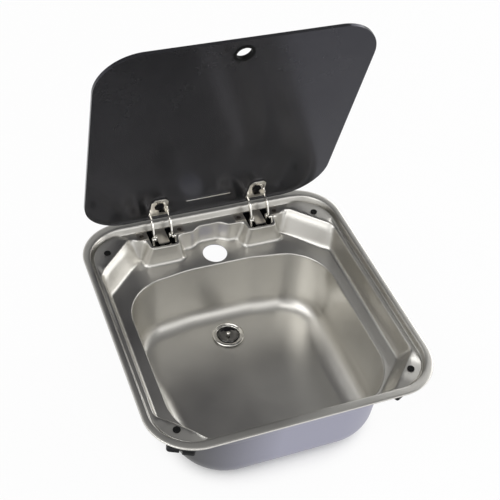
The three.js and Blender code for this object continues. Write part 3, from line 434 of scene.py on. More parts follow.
def fill(tree, socket, value):
    """Links a socket to the one that is given, or sets its value."""
    if isinstance(value, bpy.types.NodeSocket):
        tree.links.new(value, socket)
    else:
        socket.default_value = (*value, 1.0) if socket.type == "RGBA" and len(value) == 3 else value


def add_node(tree, kind, settings=None, **sockets):
    """A new node with its settings and, by their names, its sockets."""
    node = tree.nodes.new(kind)
    for key, value in (settings or {}).items():
        setattr(node, key, value)
    for key, value in sockets.items():
        wanted = key.replace("_", " ").lower()
        fill(tree, next(s for s in node.inputs if s.name.lower() == wanted and s.enabled), value)
    return node


def add_math(tree, operation, a, b=0.0):
    node = add_node(tree, "ShaderNodeMath", {"operation": operation})
    for socket, value in zip(node.inputs, (a, b)):
        fill(tree, socket, value)
    return node.outputs[0]


def ranged(tree, value, start, end, low, high):
    """The value, mapped from start..end to low..high."""
    return add_node(tree, "ShaderNodeMapRange", Value=value, From_Min=start, From_Max=end,
                    To_Min=low, To_Max=high).outputs["Result"]


class Finish:
    """A material whose Principled shader is fed by a few small helpers."""

    def __init__(self, name, **values):
        self.material = bpy.data.materials.new(name)
        self.material.use_nodes = True
        self.tree = self.material.node_tree
        self.shader = self.tree.nodes["Principled BSDF"]
        for key, value in values.items():
            self.put(key.replace("_", " "), value)
        self.coordinates = add_node(self.tree, "ShaderNodeTexCoord").outputs["Object"]

    def put(self, socket, value):
        fill(self.tree, next(s for s in self.shader.inputs if s.name.lower() == socket.lower()), value)

    def noise(self, scale, stretch=(1, 1, 1), detail=3.0, roughness=0.5):
        mapping = add_node(self.tree, "ShaderNodeMapping", Scale=stretch, Vector=self.coordinates)
        return add_node(self.tree, "ShaderNodeTexNoise", Scale=scale, Detail=detail, Roughness=roughness,
                        Vector=mapping.outputs["Vector"]).outputs["Fac"]

    def ranged(self, value, low, high):
        return ranged(self.tree, value, *NOISE_RANGE, low, high)

    def between(self, value, low, high):
        ramp = add_node(self.tree, "ShaderNodeValToRGB", Fac=value)
        for element, place, colour in zip(ramp.color_ramp.elements, NOISE_RANGE, (low, high)):
            element.position, element.color = place, (*colour, 1)
        return ramp.outputs["Color"]

    def bumps(self, *layers):
        """Stacks bump layers, each a height with its strength and distance."""
        below = {}
        for height, strength, distance in layers:
            bump = add_node(self.tree, "ShaderNodeBump", Strength=strength, Distance=distance, Height=height,
                            **below)
            below = {"Normal": bump.outputs["Normal"]}
        self.put("Normal", below["Normal"])


def shade(colour, k):
    return tuple(min(1.0, c * k) for c in colour)


def metal_finish(name, colour, rough, brush, spread=0.05, grain=0.15, across=0.0):
    """Metal with fine brushed lines along X that spread highlights across them, and a cloudy polish."""
    f = Finish(name, metallic=1.0, roughness=rough)
    lines = f.noise(700, brush, 2)
    cloud = f.noise(9, (1, 1, 1), 4)
    f.put("Base Color", f.between(cloud, shade(colour, 1 - spread), shade(colour, 1 + spread)))
    f.put("Roughness", f.ranged(cloud, rough * 0.9, rough * 1.12))
    f.bumps((lines, grain, 0.00004), (f.noise(2400, (1, 1, 1), 1), grain * 0.6, 0.00003))
    if across:
        f.put("Anisotropic", across)
        f.put("Anisotropic Rotation", 0.25)
        f.put("Tangent", add_node(f.tree, "ShaderNodeCombineXYZ", X=1.0).outputs[0])
    return f.material


# Painted shade: the dark grey of the left side of the sheet's underside.
OUTSIDE_LEFT_PAINTED_SHADE = (0.075, 0.075, 0.068)


def painted_reflection_outside_finish(colour):
    """Satin metal with painted shade and painted reflection: dark grey on the left, turning to the given
    colour on the right.
    """
    material = metal_finish("outside_steel", colour, 0.42, (0.2, 1.0, 1.0), 0.04)
    tree = material.node_tree
    shader = tree.nodes["Principled BSDF"].inputs["Base Color"]
    place = add_node(tree, "ShaderNodeTexCoord").outputs["Object"]
    place = add_node(tree, "ShaderNodeSeparateXYZ", Vector=place)
    # Painted shade and painted reflection: blends from the dark grey to the outside colour across X.
    mix = add_node(tree, "ShaderNodeMixRGB", Fac=ranged(tree, place.outputs["X"], -0.15, -0.02, 0, 1),
                   Color1=OUTSIDE_LEFT_PAINTED_SHADE, Color2=shader.links[0].from_socket)
    fill(tree, shader, mix.outputs[0])
    return material


def finishes(colours):
    made = {}
    made["steel"] = metal_finish("satin_steel", tuple(colours.steel), 0.34, (0.06, 1.0, 1.0), across=0.65)
    made["outside_painted_reflection"] = painted_reflection_outside_finish(tuple(colours.outside_painted_reflection))
    made["chrome"] = metal_finish("bright_plate", tuple(colours.chrome), 0.14, (1.0, 1.0, 1.0), 0.06, 0.08)
    made["zinc"] = metal_finish("zinc_plate", tuple(colours.zinc), 0.34, (0.5, 1.0, 1.0), 0.14, 0.25)
    made["plate"] = metal_finish("light_plate", (0.6, 0.57, 0.52), 0.36, (0.3, 1.0, 1.0), 0.08, 0.2)
    made["dark_zinc"] = metal_finish("dark_plate", (0.16, 0.14, 0.12), 0.3, (1.0, 1.0, 1.0), 0.2, 0.2)
    made["ring"] = metal_finish("drain_polish", (0.6, 0.585, 0.55), 0.2, (1.0, 1.0, 1.0), 0.05, 0.06)

    # The bluish specular tint is a painted reflection: it colours the lid's reflections like the bluish
    # surroundings.
    f = Finish("smoked_glass", ior=1.5, transmission_weight=0.15, specular_ior_level=0.26,
               specular_tint=(0.7, 0.7, 1.0, 1.0))
    smear = f.noise(14, (1, 1, 1), 5, 0.6)
    f.put("Base Color", f.between(smear, shade(tuple(colours.glass), 0.85), shade(tuple(colours.glass), 1.2)))
    f.put("Roughness", f.ranged(smear, 0.17, 0.22))
    f.bumps((f.noise(3, (1, 1, 1), 1), 0.03, 0.002))
    made["glass"] = f.material

    f = Finish("black_mirror", metallic=1.0)
    wipe = f.noise(160, (1, 1, 1), 4)
    f.put("Base Color", f.between(wipe, (0.1, 0.097, 0.094), (0.14, 0.137, 0.134)))
    f.put("Roughness", f.ranged(wipe, 0.05, 0.09))
    f.bumps((wipe, 0.04, 0.0001))
    made["mirror"] = f.material

    blacks = (("rubber", colours.rubber, 0.62, 0.4), ("plastic", colours.plastic, 0.42, 0.25))
    for name, colour, rough, grain in blacks:
        f = Finish("black_" + name, ior=1.5, specular_ior_level=0.1)
        speck = f.noise(900, (1, 1, 1), 3)
        dust = f.noise(60, (1, 1, 1), 5)
        f.put("Base Color", f.between(dust, shade(tuple(colour), 0.8), shade(tuple(colour), 1.9)))
        f.put("Roughness", f.ranged(dust, rough * 0.85, rough * 1.2))
        f.bumps((speck, grain, 0.00008))
        made[name] = f.material
    return made


MADE = {}


def finish(name):
    if not MADE:
        MADE.update(finishes(bpy.context.scene.sink_colours))
    return MADE[name]


# ---------------------------------------------------------------- pressing
BOSS_HALF, BOSS_FRONT = 22.5, 157.3
# Top of the slopes and walls round the deck, right half from front to back: (x, y, radius, steps, fillet).
SLOPE_TOP = [
    (0, -200, 0, 0, 1.2), (76, -200, 0, 0, 1.2), (90, -200, 0, 0, 1.2), (104, -200, 0, 0, 1.2),
    (118, -200, 0, 0, 1.2), (134, -200, 14, 4, 1.2), (190, -144, 12, 4, 3), (190, 128, 12, 4, 3),
    (128, 190, 6, 3, 3), (118.5, 180.7, 4, 2, 1.8), (106, 180.7, 3, 2, 1.8),
    (80 + BOSS_HALF, BOSS_FRONT, 6, 4, 1.8), (80 - BOSS_HALF, BOSS_FRONT, 6, 4, 1.8),
    (77 - BOSS_HALF, 178.7, 5, 3, 1.8), (29, 178.7, 8, 4, 3), (18, 188.2, 8, 4, 3), (0, 188.2, 0, 0, 3),
]
# Foot of the same slopes on the deck, with as many steps in all.
SLOPE_FOOT = [
    (0, -195, 0, 0, 1), (113.5, -195, 60, 8, 1), (181.5, -127, 8, 4, 2), (181.5, 111.5, 8, 4, 5),
    (119.4, 169.3, 0.7, 3, 1.2), (117.4, 171.4, 0.6, 2, 0.55), (115.4, 171.4, 0.7, 2, 0.55),
    (114, BOSS_FRONT - 2.3, 6, 4, 5), (49.5, BOSS_FRONT - 2.3, 6, 4, 5), (46.5, 177.5, 6, 3, 5),
    (30, 177.5, 8, 4, 5), (17, 187, 8, 4, 5), (0, 187, 0, 0, 5),
]


# Ledge along the corner pads: a short step out and down, then a shallow band out and down to the steep face.
LEDGE = (1.3, PAD_RISE, 7.0, 9.2)
SLOPE_SOFTNESS, SLOPE_ROWS, SLOPE_PASSES = 10, 32, 14


def smoothstep(v, a, b):
    t = np.clip((v - a) / (b - a), 0, 1)
    return t * t * (3 - 2 * t)


def deck_height(x, y):
    back = smoothstep(y, BOWL_SHOULDER_Y, TAP_HOLE_Y)
    side = smoothstep(np.abs(x), BOWL_HALF_X + 4, 181.5)
    return DECK_BOWL_Z + np.maximum((DECK_BACK_Z - DECK_BOWL_Z) * back, side)


def pad_mask(x, y):
    """1 on the raised corner pads, falling to 0 at their pointed ends."""
    x = np.abs(x)
    back = (1 - smoothstep(np.abs(x - y), 46, 66)) * (x + y > 290)
    front = (1 - smoothstep(np.abs(x + y + 10), 22, 60)) * (x - y > 300)
    return np.maximum(back, front)


def shelf_height(x, y):
    return SHELF_Z + PAD_RISE * pad_mask(x, y)


def half_path(corners, fine):
    """Points and values along a half outline. Every step and straight piece is cut into fine parts."""
    stations = []
    for i, corner in enumerate(corners):
        x, y, r, steps, *values = corner
        here = np.array((x, y), float)
        if r == 0 or i in (0, len(corners) - 1):
            stations.append((here, values, None))
            continue
        for k, p in enumerate(arc(corners[i - 1], corner, corners[i + 1], r, steps * fine)):
            stations.append((p, values, "arc" if k else None))
    points, extra = [], []
    for k, (p, values, kind) in enumerate(stations):
        if k and kind != "arc":
            before, old, _ = stations[k - 1]
            for j in range(1, fine):
                points.append(before + (p - before) * j / fine)
                extra.append([o + (v - o) * j / fine for o, v in zip(old, values)])
        points.append(p)
        extra.append(values)
    return np.array(points), np.array(extra, float)


def mirrored(half):
    left = half[1:-1][::-1].copy()
    left[:, 0] *= -1
    return np.vstack((half, left))


def bent(corners, setbacks, steps):
    """Rounds the corners of many polylines at once: corners is a list of (n, 3) arrays."""
    rings = []
    for k in range(1, len(corners) - 1):
        before, here, after = corners[k - 1 : k + 2]
        a, b = before - here, after - here
        la, lb = np.linalg.norm(a, axis=1), np.linalg.norm(b, axis=1)
        a, b = a / la[:, None], b / lb[:, None]
        cosine = np.clip(-(a * b).sum(1), -1, 1)
        reach = setbacks[k - 1] * np.tan(np.arccos(cosine) / 2)
        reach = np.minimum(np.maximum(reach, 0.05), 0.45 * np.minimum(la, lb))[:, None]
        start, end = here + a * reach, here + b * reach
        for t in np.linspace(0, 1, steps[k - 1] + 1):
            rings.append((1 - t) ** 2 * start + 2 * t * (1 - t) * here + t * t * end)
    return rings


def sideways(path):
    """Level directions square to a path, pointing away from the deck."""
    along = np.gradient(path, axis=0)
    along /= np.linalg.norm(along, axis=1)[:, None]
    along[0], along[-1] = (1, 0), (-1, 0)
    return np.column_stack((along[:, 1], -along[:, 0], np.zeros(len(along))))


def softened(ring, passes):
    """Rounds a closed ring by averaging each point with its neighbours."""
    for _ in range(passes):
        ring = 0.5 * ring + 0.25 * (np.roll(ring, 1, axis=0) + np.roll(ring, -1, axis=0))
    return ring


def evenly(rings, count):
    """The same surface with count rings, spaced evenly down every line from the first ring to the last."""
    steps = np.linalg.norm(np.diff(rings, axis=0), axis=2)
    place = np.vstack((np.zeros(rings.shape[1]), np.cumsum(steps, axis=0)))
    out = np.empty((count, rings.shape[1], 3))
    for i in range(rings.shape[1]):
        at = np.linspace(0, place[-1, i], count)
        out[:, i] = np.column_stack([np.interp(at, place[:, i], rings[:, i, axis]) for axis in range(3)])
    return out


def slope_rings(spacing=2.0):
    """Rings down the slopes and walls round the deck, with the corners rounded more towards the foot."""
    top, top_fillet = half_path(SLOPE_TOP, 4)
    foot, foot_fillet = half_path(SLOPE_FOOT, 4)
    steps = [np.linalg.norm(np.diff(path, axis=0), axis=1) for path in (top, foot)]
    place = np.concatenate(([0], np.cumsum(steps[0] + steps[1]))) / 2
    even = np.linspace(0, place[-1], round(place[-1] / spacing) + 1)
    top, foot, top_fillet, foot_fillet = (
        np.column_stack([np.interp(even, place, column) for column in values.T])
        for values in (top, foot, top_fillet, foot_fillet)
    )
    high = np.column_stack((top, shelf_height(*top.T)))
    low = np.column_stack((foot, deck_height(*foot.T)))
    run = high - low
    out = run.copy()
    out[:, 2] = 0
    out /= np.linalg.norm(out, axis=1)[:, None]
    step = pad_mask(*top.T)[:, None]
    straight = [high - run * 0.1, high - run * 0.3]
    down = np.array((0, 0, 1.0))
    ledge = [high - out * LEDGE[0] - down * LEDGE[1], high - out * LEDGE[2] - down * LEDGE[3]]
    mids = [s + (g - s) * step for s, g in zip(straight, ledge)]
    polyline = [high + sideways(top) * 8, high, *mids, low, low - sideways(foot) * 12]
    setbacks = [top_fillet[:, 0], 1.2 + 0 * step[:, 0], 4 + 0 * step[:, 0], foot_fillet[:, 0] * 1.9]
    rings = evenly(np.array([mirrored(r) for r in bent(polyline, setbacks, (5, 3, 5, 7))]), SLOPE_ROWS)
    last = len(rings) - 1
    rings[0] = softened(rings[0], 1)
    rings[-1] = softened(rings[-1], SLOPE_SOFTNESS)
    row = np.arange(1, last)
    strength = 0.5 * (smoothstep(row, 0, 4) * smoothstep(last - row, 0, 5))[:, None, None]
    for _ in range(SLOPE_PASSES):
        around = (np.roll(rings, 1, axis=1) + np.roll(rings, -1, axis=1))[1:-1]
        rings[1:-1] += strength * ((around + rings[2:] + rings[:-2]) / 4 - rings[1:-1])
    rise = shelf_height(*rings[0][:, :2].T) - rings[0][:, 2]
    sink = deck_height(*rings[-1][:, :2].T) - rings[-1][:, 2]
    for k, ring in enumerate(rings):
        ring[:, 2] += rise * (1 - k / last) + sink * k / last
    return rings


def rim_ring(side, front, back, z, pad=0.0, fine=4):
    shrink = (side + min(front, back)) / 2
    radius = RIM_CORNER - min(shrink, side + 2)
    x, y0, y1 = RIM_HALF[0] - side, -RIM_HALF[1] + front, RIM_HALF[1] - back
    half, _ = half_path([(0, y0, 0, 0), (x, y0, radius, 8), (x, y1, radius, 8), (0, y1, 0, 0)], fine)
    height = z + pad * PAD_RISE * pad_mask(*half.T)
    return mirrored(np.column_stack((half, height)))


def smooth_rows(rows, parts):
    """A smooth curve through the rows of a table, with parts points for each step."""
    p = np.array(rows, float)
    ext = np.vstack((2 * p[0] - p[1], p, 2 * p[-1] - p[-2]))
    out = []
    for i in range(1, len(ext) - 2):
        a, b, c, d = ext[i - 1 : i + 3]
        for t in np.arange(parts) / parts:
            square, cube = 2 * a - 5 * b + 4 * c - d, 3 * b - a - 3 * c + d
            out.append(0.5 * (2 * b + (c - a) * t + square * t**2 + cube * t**3))
    out.append(p[-1])
    return out


def rim_rings():
    side, front, back = BAND_SIDE, BAND_FRONT, BAND_BACK
    rows = [
        (0, 0, 0, SHEET, 0), (0.25, 0.25, 0.25, RIM_CROWN - 1.15, 0), (0.9, 0.9, 0.9, RIM_CROWN - 0.5, 0),
        (2.6, 2.6, 2.6, RIM_CROWN - 0.06, 0), (5.2, 5.2, 5.2, RIM_CROWN, 0),
        (side - 2.6, front - 2.8, back - 4, RIM_CROWN - 0.15, 0),
        (side - 0.7, front - 0.7, back - 1, RIM_CROWN - 0.8, 0),
        (side + 0.4, front + 0.3, back + 0.9, RIM_CROWN - 2.6, 0),
        (side + 1.3, front + 1.0, back + 2.6, SHELF_Z / 2, 0),
        (side + 2.1, front + 1.7, back + 3.9, SHELF_Z + 0.9, 0),
        (side + 3.0, front + 2.6, back + 4.6, SHELF_Z + 0.12, 0),
        (side + 3.7, front + 3.1, back + 5.0, SHELF_Z, 0.0),
        (side + 4.5, front + 3.6, back + 5.3, SHELF_Z, 0.45),
        (side + 5.3, front + 4.1, back + 5.6, SHELF_Z, 0.96),
        (side + 6.3, front + 4.5, back + 5.9, SHELF_Z, 1.0),
    ]
    return [rim_ring(*row) for row in smooth_rows(rows, 3)]


def bowl_ring(inset, z, follow, fine=4):
    x, back = BOWL_HALF_X - inset, BOWL_BACK_Y - inset
    half, _ = half_path(
        [
            (0, BOWL_FRONT_Y + inset, 0, 0),
            (x, BOWL_FRONT_Y + inset, BOWL_FRONT_CORNER - inset, 8),
            (x, BOWL_SHOULDER_Y - inset, BOWL_BACK_CORNER - inset, 8),
            (50, back, 150, 4),
            (0, back, 0, 0),
        ],
        fine,
    )
    height = z + follow * (deck_height(*half.T) - DECK_BOWL_Z)
    return mirrored(np.column_stack((half, height)))


def bowl_rings():
    e = BOWL_EDGE_FILLET
    rows = [(-e, 0), (-e * 0.7, -0.03), (-e * 0.42, -0.35), (-e * 0.16, -1.1), (0.05, -2.5), (0.3, -6)]
    rings = [bowl_ring(inset, DECK_BOWL_Z + drop, 1) for inset, drop in smooth_rows(rows, 2)]
    near, far = bowl_ring(0, 0, 0), bowl_ring(30, 0, 0)
    fillet = BOWL_BACK_FILLET + (BOWL_FRONT_FILLET - BOWL_BACK_FILLET) * (1 - smoothstep(near[:, 1], -60, 80))

    def inset_by(inset, z):
        ring = near + (far - near) * (inset / 30)[:, None]
        ring[:, 2] = z
        return ring

    top = DECK_BOWL_Z - 6 + deck_height(*near[:, :2].T) - DECK_BOWL_Z
    foot = BOWL_FLOOR_Z + fillet
    for t in np.linspace(0, 1, 9)[1:-1]:
        wall = np.full(len(near), 0.3 + (BOWL_DRAFT - 0.3) * t)
        rings.append(inset_by(wall, top + (foot - top) * t))
    for turn in np.linspace(0, math.pi / 2, 21):
        inwards, upwards = fillet * (1 - math.cos(turn)), fillet * (1 - math.sin(turn))
        rings.append(inset_by(BOWL_DRAFT + inwards, BOWL_FLOOR_Z + upwards))
    return rings


def slot_outline(x):
    half, tongue = 20.3, 8.6
    front, inner, back = 161, TONGUE_FRONT, 198.3
    return rounded([
        (x - half, front, 5), (x + half, front, 5), (x + half, back, 2), (x + tongue, back, 2),
        (x + tongue, inner, 2), (x - tongue, inner, 2), (x - tongue, back, 2), (x - half, back, 2),
    ])


def strip_of(rings):
    n = len(rings[0])
    faces = []
    for k in range(len(rings) - 1):
        for i in range(n):
            j = (i + 1) % n
            a, b = k * n, (k + 1) * n
            faces.append([a + i, a + j, b + j, b + i])
    return np.vstack(rings), faces


def pressed_sheet(grid):
    """The pressing's upper surface: strips of rings, joined by flats that follow height rules."""
    rim, slope, bowl = rim_rings(), slope_rings(), bowl_rings()
    holes = [slot_outline(x) for x in HINGE_X.values()]
    holes += [circle(CLAMP_HOLE_R, x, y, 24) for x, y in FIXINGS.values()]
    holes += [circle(PLATE_HOLE_R, x + dx, y, 20) for x in HINGE_X.values() for dx, y in PLATE_HOLES]
    shelf, shelf_faces = filled(rim[-1], [slope[0][:, :2], *holes], grid)
    deck, deck_faces = filled(slope[-1], [bowl[0][:, :2], circle(TAP_HOLE_R, 0, TAP_HOLE_Y, 64)], grid)
    floor, floor_faces = filled(bowl[-1], [circle(DRAIN_HOLE_R, 0, DRAIN_Y, 64)], grid * 1.6)
    shelf = np.column_stack((shelf, shelf_height(*shelf.T)))
    deck = np.column_stack((deck, deck_height(*deck.T)))
    floor = np.column_stack((floor, np.full(len(floor), float(BOWL_FLOOR_Z))))
    parts = [strip_of(r) for r in (rim, slope, bowl)]
    return together(*parts, (shelf, shelf_faces), (deck, deck_faces), (floor, floor_faces))


def build_pressing():
    sizes = bpy.context.scene.sink_sizes
    shape = pressed_sheet(sizes.grid * 1000)
    obj = make_object("pressed_sink", shape, [finish("steel"), finish("outside_painted_reflection")], 50, repair=False)
    with editing(obj.data) as bm:
        bmesh.ops.remove_doubles(bm, verts=bm.verts, dist=2e-6)
    wall = obj.modifiers.new("Sheet", "SOLIDIFY")
    wall.thickness = SHEET / 1000
    wall.offset = -1
    wall.use_even_offset = False
    wall.material_offset = 1
    # The cut edges also take the outside finish: painted shade, a dark line standing in for the shadow under
    # the rim's lip.
    wall.material_offset_rim = 1
    return settled(made_plain(obj, 50), "base", "stainless", "sink_pressing")


# ---------------------------------------------------------------- node trees
class Tree:
    """A Geometry Nodes tree under construction, with inputs given as (name, kind, default)."""

    def __init__(self, name, *inputs):
        self.tree = bpy.data.node_groups.new(name, "GeometryNodeTree")
        sockets = self.tree.interface
        for way in ("OUTPUT", "INPUT"):
            sockets.new_socket(name="Geometry", in_out=way, socket_type="NodeSocketGeometry")
        for label, kind, default in inputs:
            socket = sockets.new_socket(name=label, in_out="INPUT", socket_type="NodeSocket" + kind)
            if default is not None:
                socket.default_value = default
        self.given = self.tree.nodes.new("NodeGroupInput").outputs
        self.result = self.tree.nodes.new("NodeGroupOutput").inputs["Geometry"]

    def node(self, kind, settings=None, **sockets):
        return add_node(self.tree, kind, settings, **sockets)

    def math(self, operation, a, b=0.0):
        return add_math(self.tree, operation, a, b)

    def join(self, *geometries):
        node = self.tree.nodes.new("GeometryNodeJoinGeometry")
        for g in geometries:
            self.tree.links.new(g, node.inputs[0])
        return node.outputs[0]

    def made(self, kind, settings=None, **sockets):
        """The first output of a new geometry node."""
        return self.node("GeometryNode" + kind, settings, **sockets).outputs[0]

    def vector(self, **axes):
        return self.node("ShaderNodeCombineXYZ", **axes).outputs[0]

    def band(self, width, thickness, corner):
        """A rectangle with rounded corners, to sweep along a path."""
        flat = self.made("CurvePrimitiveQuadrilateral", {"mode": "RECTANGLE"}, Width=width, Height=thickness)
        return self.made("FilletCurve", {"mode": "POLY"}, Curve=flat, Count=3, Radius=corner)

    def end(self, geometry, material):
        real = self.made("RealizeInstances", Geometry=geometry)
        self.tree.links.new(self.made("SetMaterial", Geometry=real, Material=material), self.result)
        return self.tree


def from_tree(name, tree, values, points=(), mark=35):
    """An object made by a node tree, turned into a plain mesh. Its own points are given to the tree."""
    mesh = bpy.data.meshes.new(name)
    lifted = [(x / 1000, y / 1000, (z + RIM_LEVEL) / 1000) for x, y, z in points]
    mesh.from_pydata(lifted, [], [])
    obj = linked(name, mesh)
    modifier = obj.modifiers.new("Nodes", "NODES")
    modifier.node_group = tree
    found = {s.name: s.identifier for s in tree.interface.items_tree if s.in_out == "INPUT"}
    for label, value in values.items():
        modifier[found[label]] = value
    return made_plain(obj, mark)


def seal_tree(material):
    """A foam strip swept round a rectangle with round corners."""
    t = Tree("rim_seal", ("Width", "Float", 0.4), ("Length", "Float", 0.4), ("Corner", "Float", 0.06),
             ("Strip", "Float", 0.0045), ("Thickness", "Float", 0.0021), ("Height", "Float", 0.15))
    g = t.given
    path = t.made("CurvePrimitiveQuadrilateral", {"mode": "RECTANGLE"}, Width=g["Width"], Height=g["Length"])
    path = t.made("FilletCurve", {"mode": "POLY"}, Curve=path, Count=24, Radius=g["Corner"])
    path = t.made("SetCurveNormal", {"mode": "Z_UP"}, Curve=path)
    strip = t.band(g["Strip"], g["Thickness"], 0.0005)
    swept = t.made("CurveToMesh", Curve=path, Profile_Curve=strip)
    return t.end(t.made("Transform", Geometry=swept, Translation=t.vector(Z=g["Height"])), material)


def strainer_tree(material):
    """A ring, a hub and evenly spaced bars between them."""
    t = Tree("strainer", ("Radius", "Float", 0.0173), ("Ring", "Float", 0.0027), ("Hub", "Float", 0.005),
             ("Thickness", "Float", 0.001), ("Bars", "Int", 8), ("Bar width", "Float", 0.0032),
             ("Centre", "Vector", (0, 0, 0)))
    g = t.given
    middle = t.math("SUBTRACT", g["Radius"], t.math("DIVIDE", g["Ring"], 2.0))
    circle_curve = t.made("CurvePrimitiveCircle", {"mode": "RADIUS"}, Resolution=72, Radius=middle)
    circle_curve = t.made("SetCurveNormal", {"mode": "Z_UP"}, Curve=circle_curve)
    band = t.band(g["Ring"], g["Thickness"], 0.0002)
    ring = t.made("CurveToMesh", Curve=circle_curve, Profile_Curve=band)
    hub = t.made("MeshCylinder", Vertices=48, Radius=g["Hub"], Depth=g["Thickness"])
    length = t.math("SUBTRACT", middle, t.math("MULTIPLY", g["Hub"], 0.9))
    size = t.vector(X=length, Y=g["Bar width"], Z=t.math("MULTIPLY", g["Thickness"], 0.92))
    bar = t.made("MeshCube", Size=size)
    reach = t.math("DIVIDE", t.math("ADD", middle, t.math("MULTIPLY", g["Hub"], 0.9)), 2.0)
    bar = t.made("Transform", Geometry=bar, Translation=t.vector(X=reach))
    places = t.made("Points", Count=g["Bars"])
    angle = t.math("MULTIPLY", t.made("InputIndex"), t.math("DIVIDE", 2 * math.pi, g["Bars"]))
    spin = t.vector(Z=t.math("ADD", angle, math.pi / 8))
    bars = t.made("InstanceOnPoints", Points=places, Instance=bar, Rotation=spin)
    return t.end(t.made("Transform", Geometry=t.join(ring, hub, bars), Translation=g["Centre"]), material)


def coil_tree(material):
    """A wire coil along X with two straight legs."""
    t = Tree("coil", ("Turns", "Float", 4.3), ("Coil radius", "Float", 0.0025), ("Wire", "Float", 0.0007),
             ("Length", "Float", 0.0073), ("Centre", "Vector", (0, 0, 0)), ("First leg", "Vector", (0, 0, 0)),
             ("Last start", "Vector", (0, 0, 0)), ("Last leg", "Vector", (0, 0, 0)), ("Side", "Float", 1.0))
    g = t.given
    back = t.math("MULTIPLY", g["Length"], -0.5)
    spiral = t.made("CurveSpiral", Resolution=36, Rotations=g["Turns"], Start_Radius=g["Coil radius"],
                    End_Radius=g["Coil radius"], Height=g["Length"])
    level = t.made("Transform", Geometry=spiral, Rotation=(math.pi / 2, 0, math.pi / 2))
    placed = t.made("Transform", Geometry=level, Translation=t.vector(X=back))
    start = t.vector(X=back, Y=g["Coil radius"])
    first = t.made("CurvePrimitiveLine", Start=start, End=g["First leg"])
    last = t.made("CurvePrimitiveLine", Start=g["Last start"], End=g["Last leg"])
    wires = t.join(placed, first, last)
    wire = t.made("CurvePrimitiveCircle", {"mode": "RADIUS"}, Resolution=12, Radius=g["Wire"])
    tube = t.made("CurveToMesh", Curve=wires, Profile_Curve=wire, Fill_Caps=True)
    flip = t.vector(X=g["Side"], Y=1.0, Z=1.0)
    moved = t.made("Transform", Geometry=tube, Translation=g["Centre"], Scale=flip)
    return t.end(moved, material)


def repeated_tree(name, material):
    """One fitting repeated at every point of the object."""
    t = Tree(name, ("Fitting", "Object", None), ("Turn", "Float", 0.0))
    info = t.node("GeometryNodeObjectInfo", {"transform_space": "ORIGINAL"}, Object=t.given["Fitting"])
    index = t.made("InputIndex")
    spin = t.vector(Z=t.math("MULTIPLY", index, t.given["Turn"]))
    placed = t.made("InstanceOnPoints", Points=t.given["Geometry"], Instance=info.outputs["Geometry"],
                    Rotation=spin)
    return t.end(placed, material)


def repeated(name, shape, places, material, turn=0.7, mark=35):
    """The same turned fitting at several places, as one plain mesh."""
    points, faces = shape
    fitting = make_object(name + "_one", (points - np.array((0, 0, RIM_LEVEL)), faces), material, mark)
    tree = repeated_tree(name, material)
    obj = from_tree(name, tree, {"Fitting": fitting, "Turn": turn}, places, mark)
    bpy.data.objects.remove(fitting)
    return obj


# ---------------------------------------------------------------- seal and drain
def build_seal():
    tree = seal_tree(finish("rubber"))
    low, high = -SEAL_BELOW_RIM, RIM_CROWN - SHEET - 0.6
    inset = 5.25
    obj = from_tree("foam_seal", tree, {
        "Width": (RIM_HALF[0] - inset) * 0.002, "Length": (RIM_HALF[1] - inset) * 0.002,
        "Corner": (RIM_CORNER - inset) / 1000, "Strip": 0.0045, "Thickness": (high - low) / 1000,
        "Height": (RIM_LEVEL + (low + high) / 2) / 1000,
    })
    return settled(obj, "base", "black_rubber", "rim_seal")


FLOOR_UNDER = BOWL_FLOOR_Z - SHEET
GASKET_TOP = BOWL_FLOOR_Z + GAP + 0.9
FLANGE_TOP = GASKET_TOP + GAP / 2 + 2.4
BORE_R, NECK_R, FLANGE_R = 17.6, 20.4, 25.5
GASKET_IN, GASKET_OUT = 21.4, 24.7
STOPPER_R = BORE_R - 1.6
DISH_Z = FLOOR_UNDER + 1 + GAP + 1.65


def drain_part(name, profile, steps, *settings, mark=35):
    """A turned piece on the drain's axis. A profile that stays off the axis is closed to a ring."""
    if profile[0][0] > 0:
        profile = [*profile, profile[0]]
    piece(name, turned(profile, steps, upright(0, DRAIN_Y)), *settings, mark=mark)


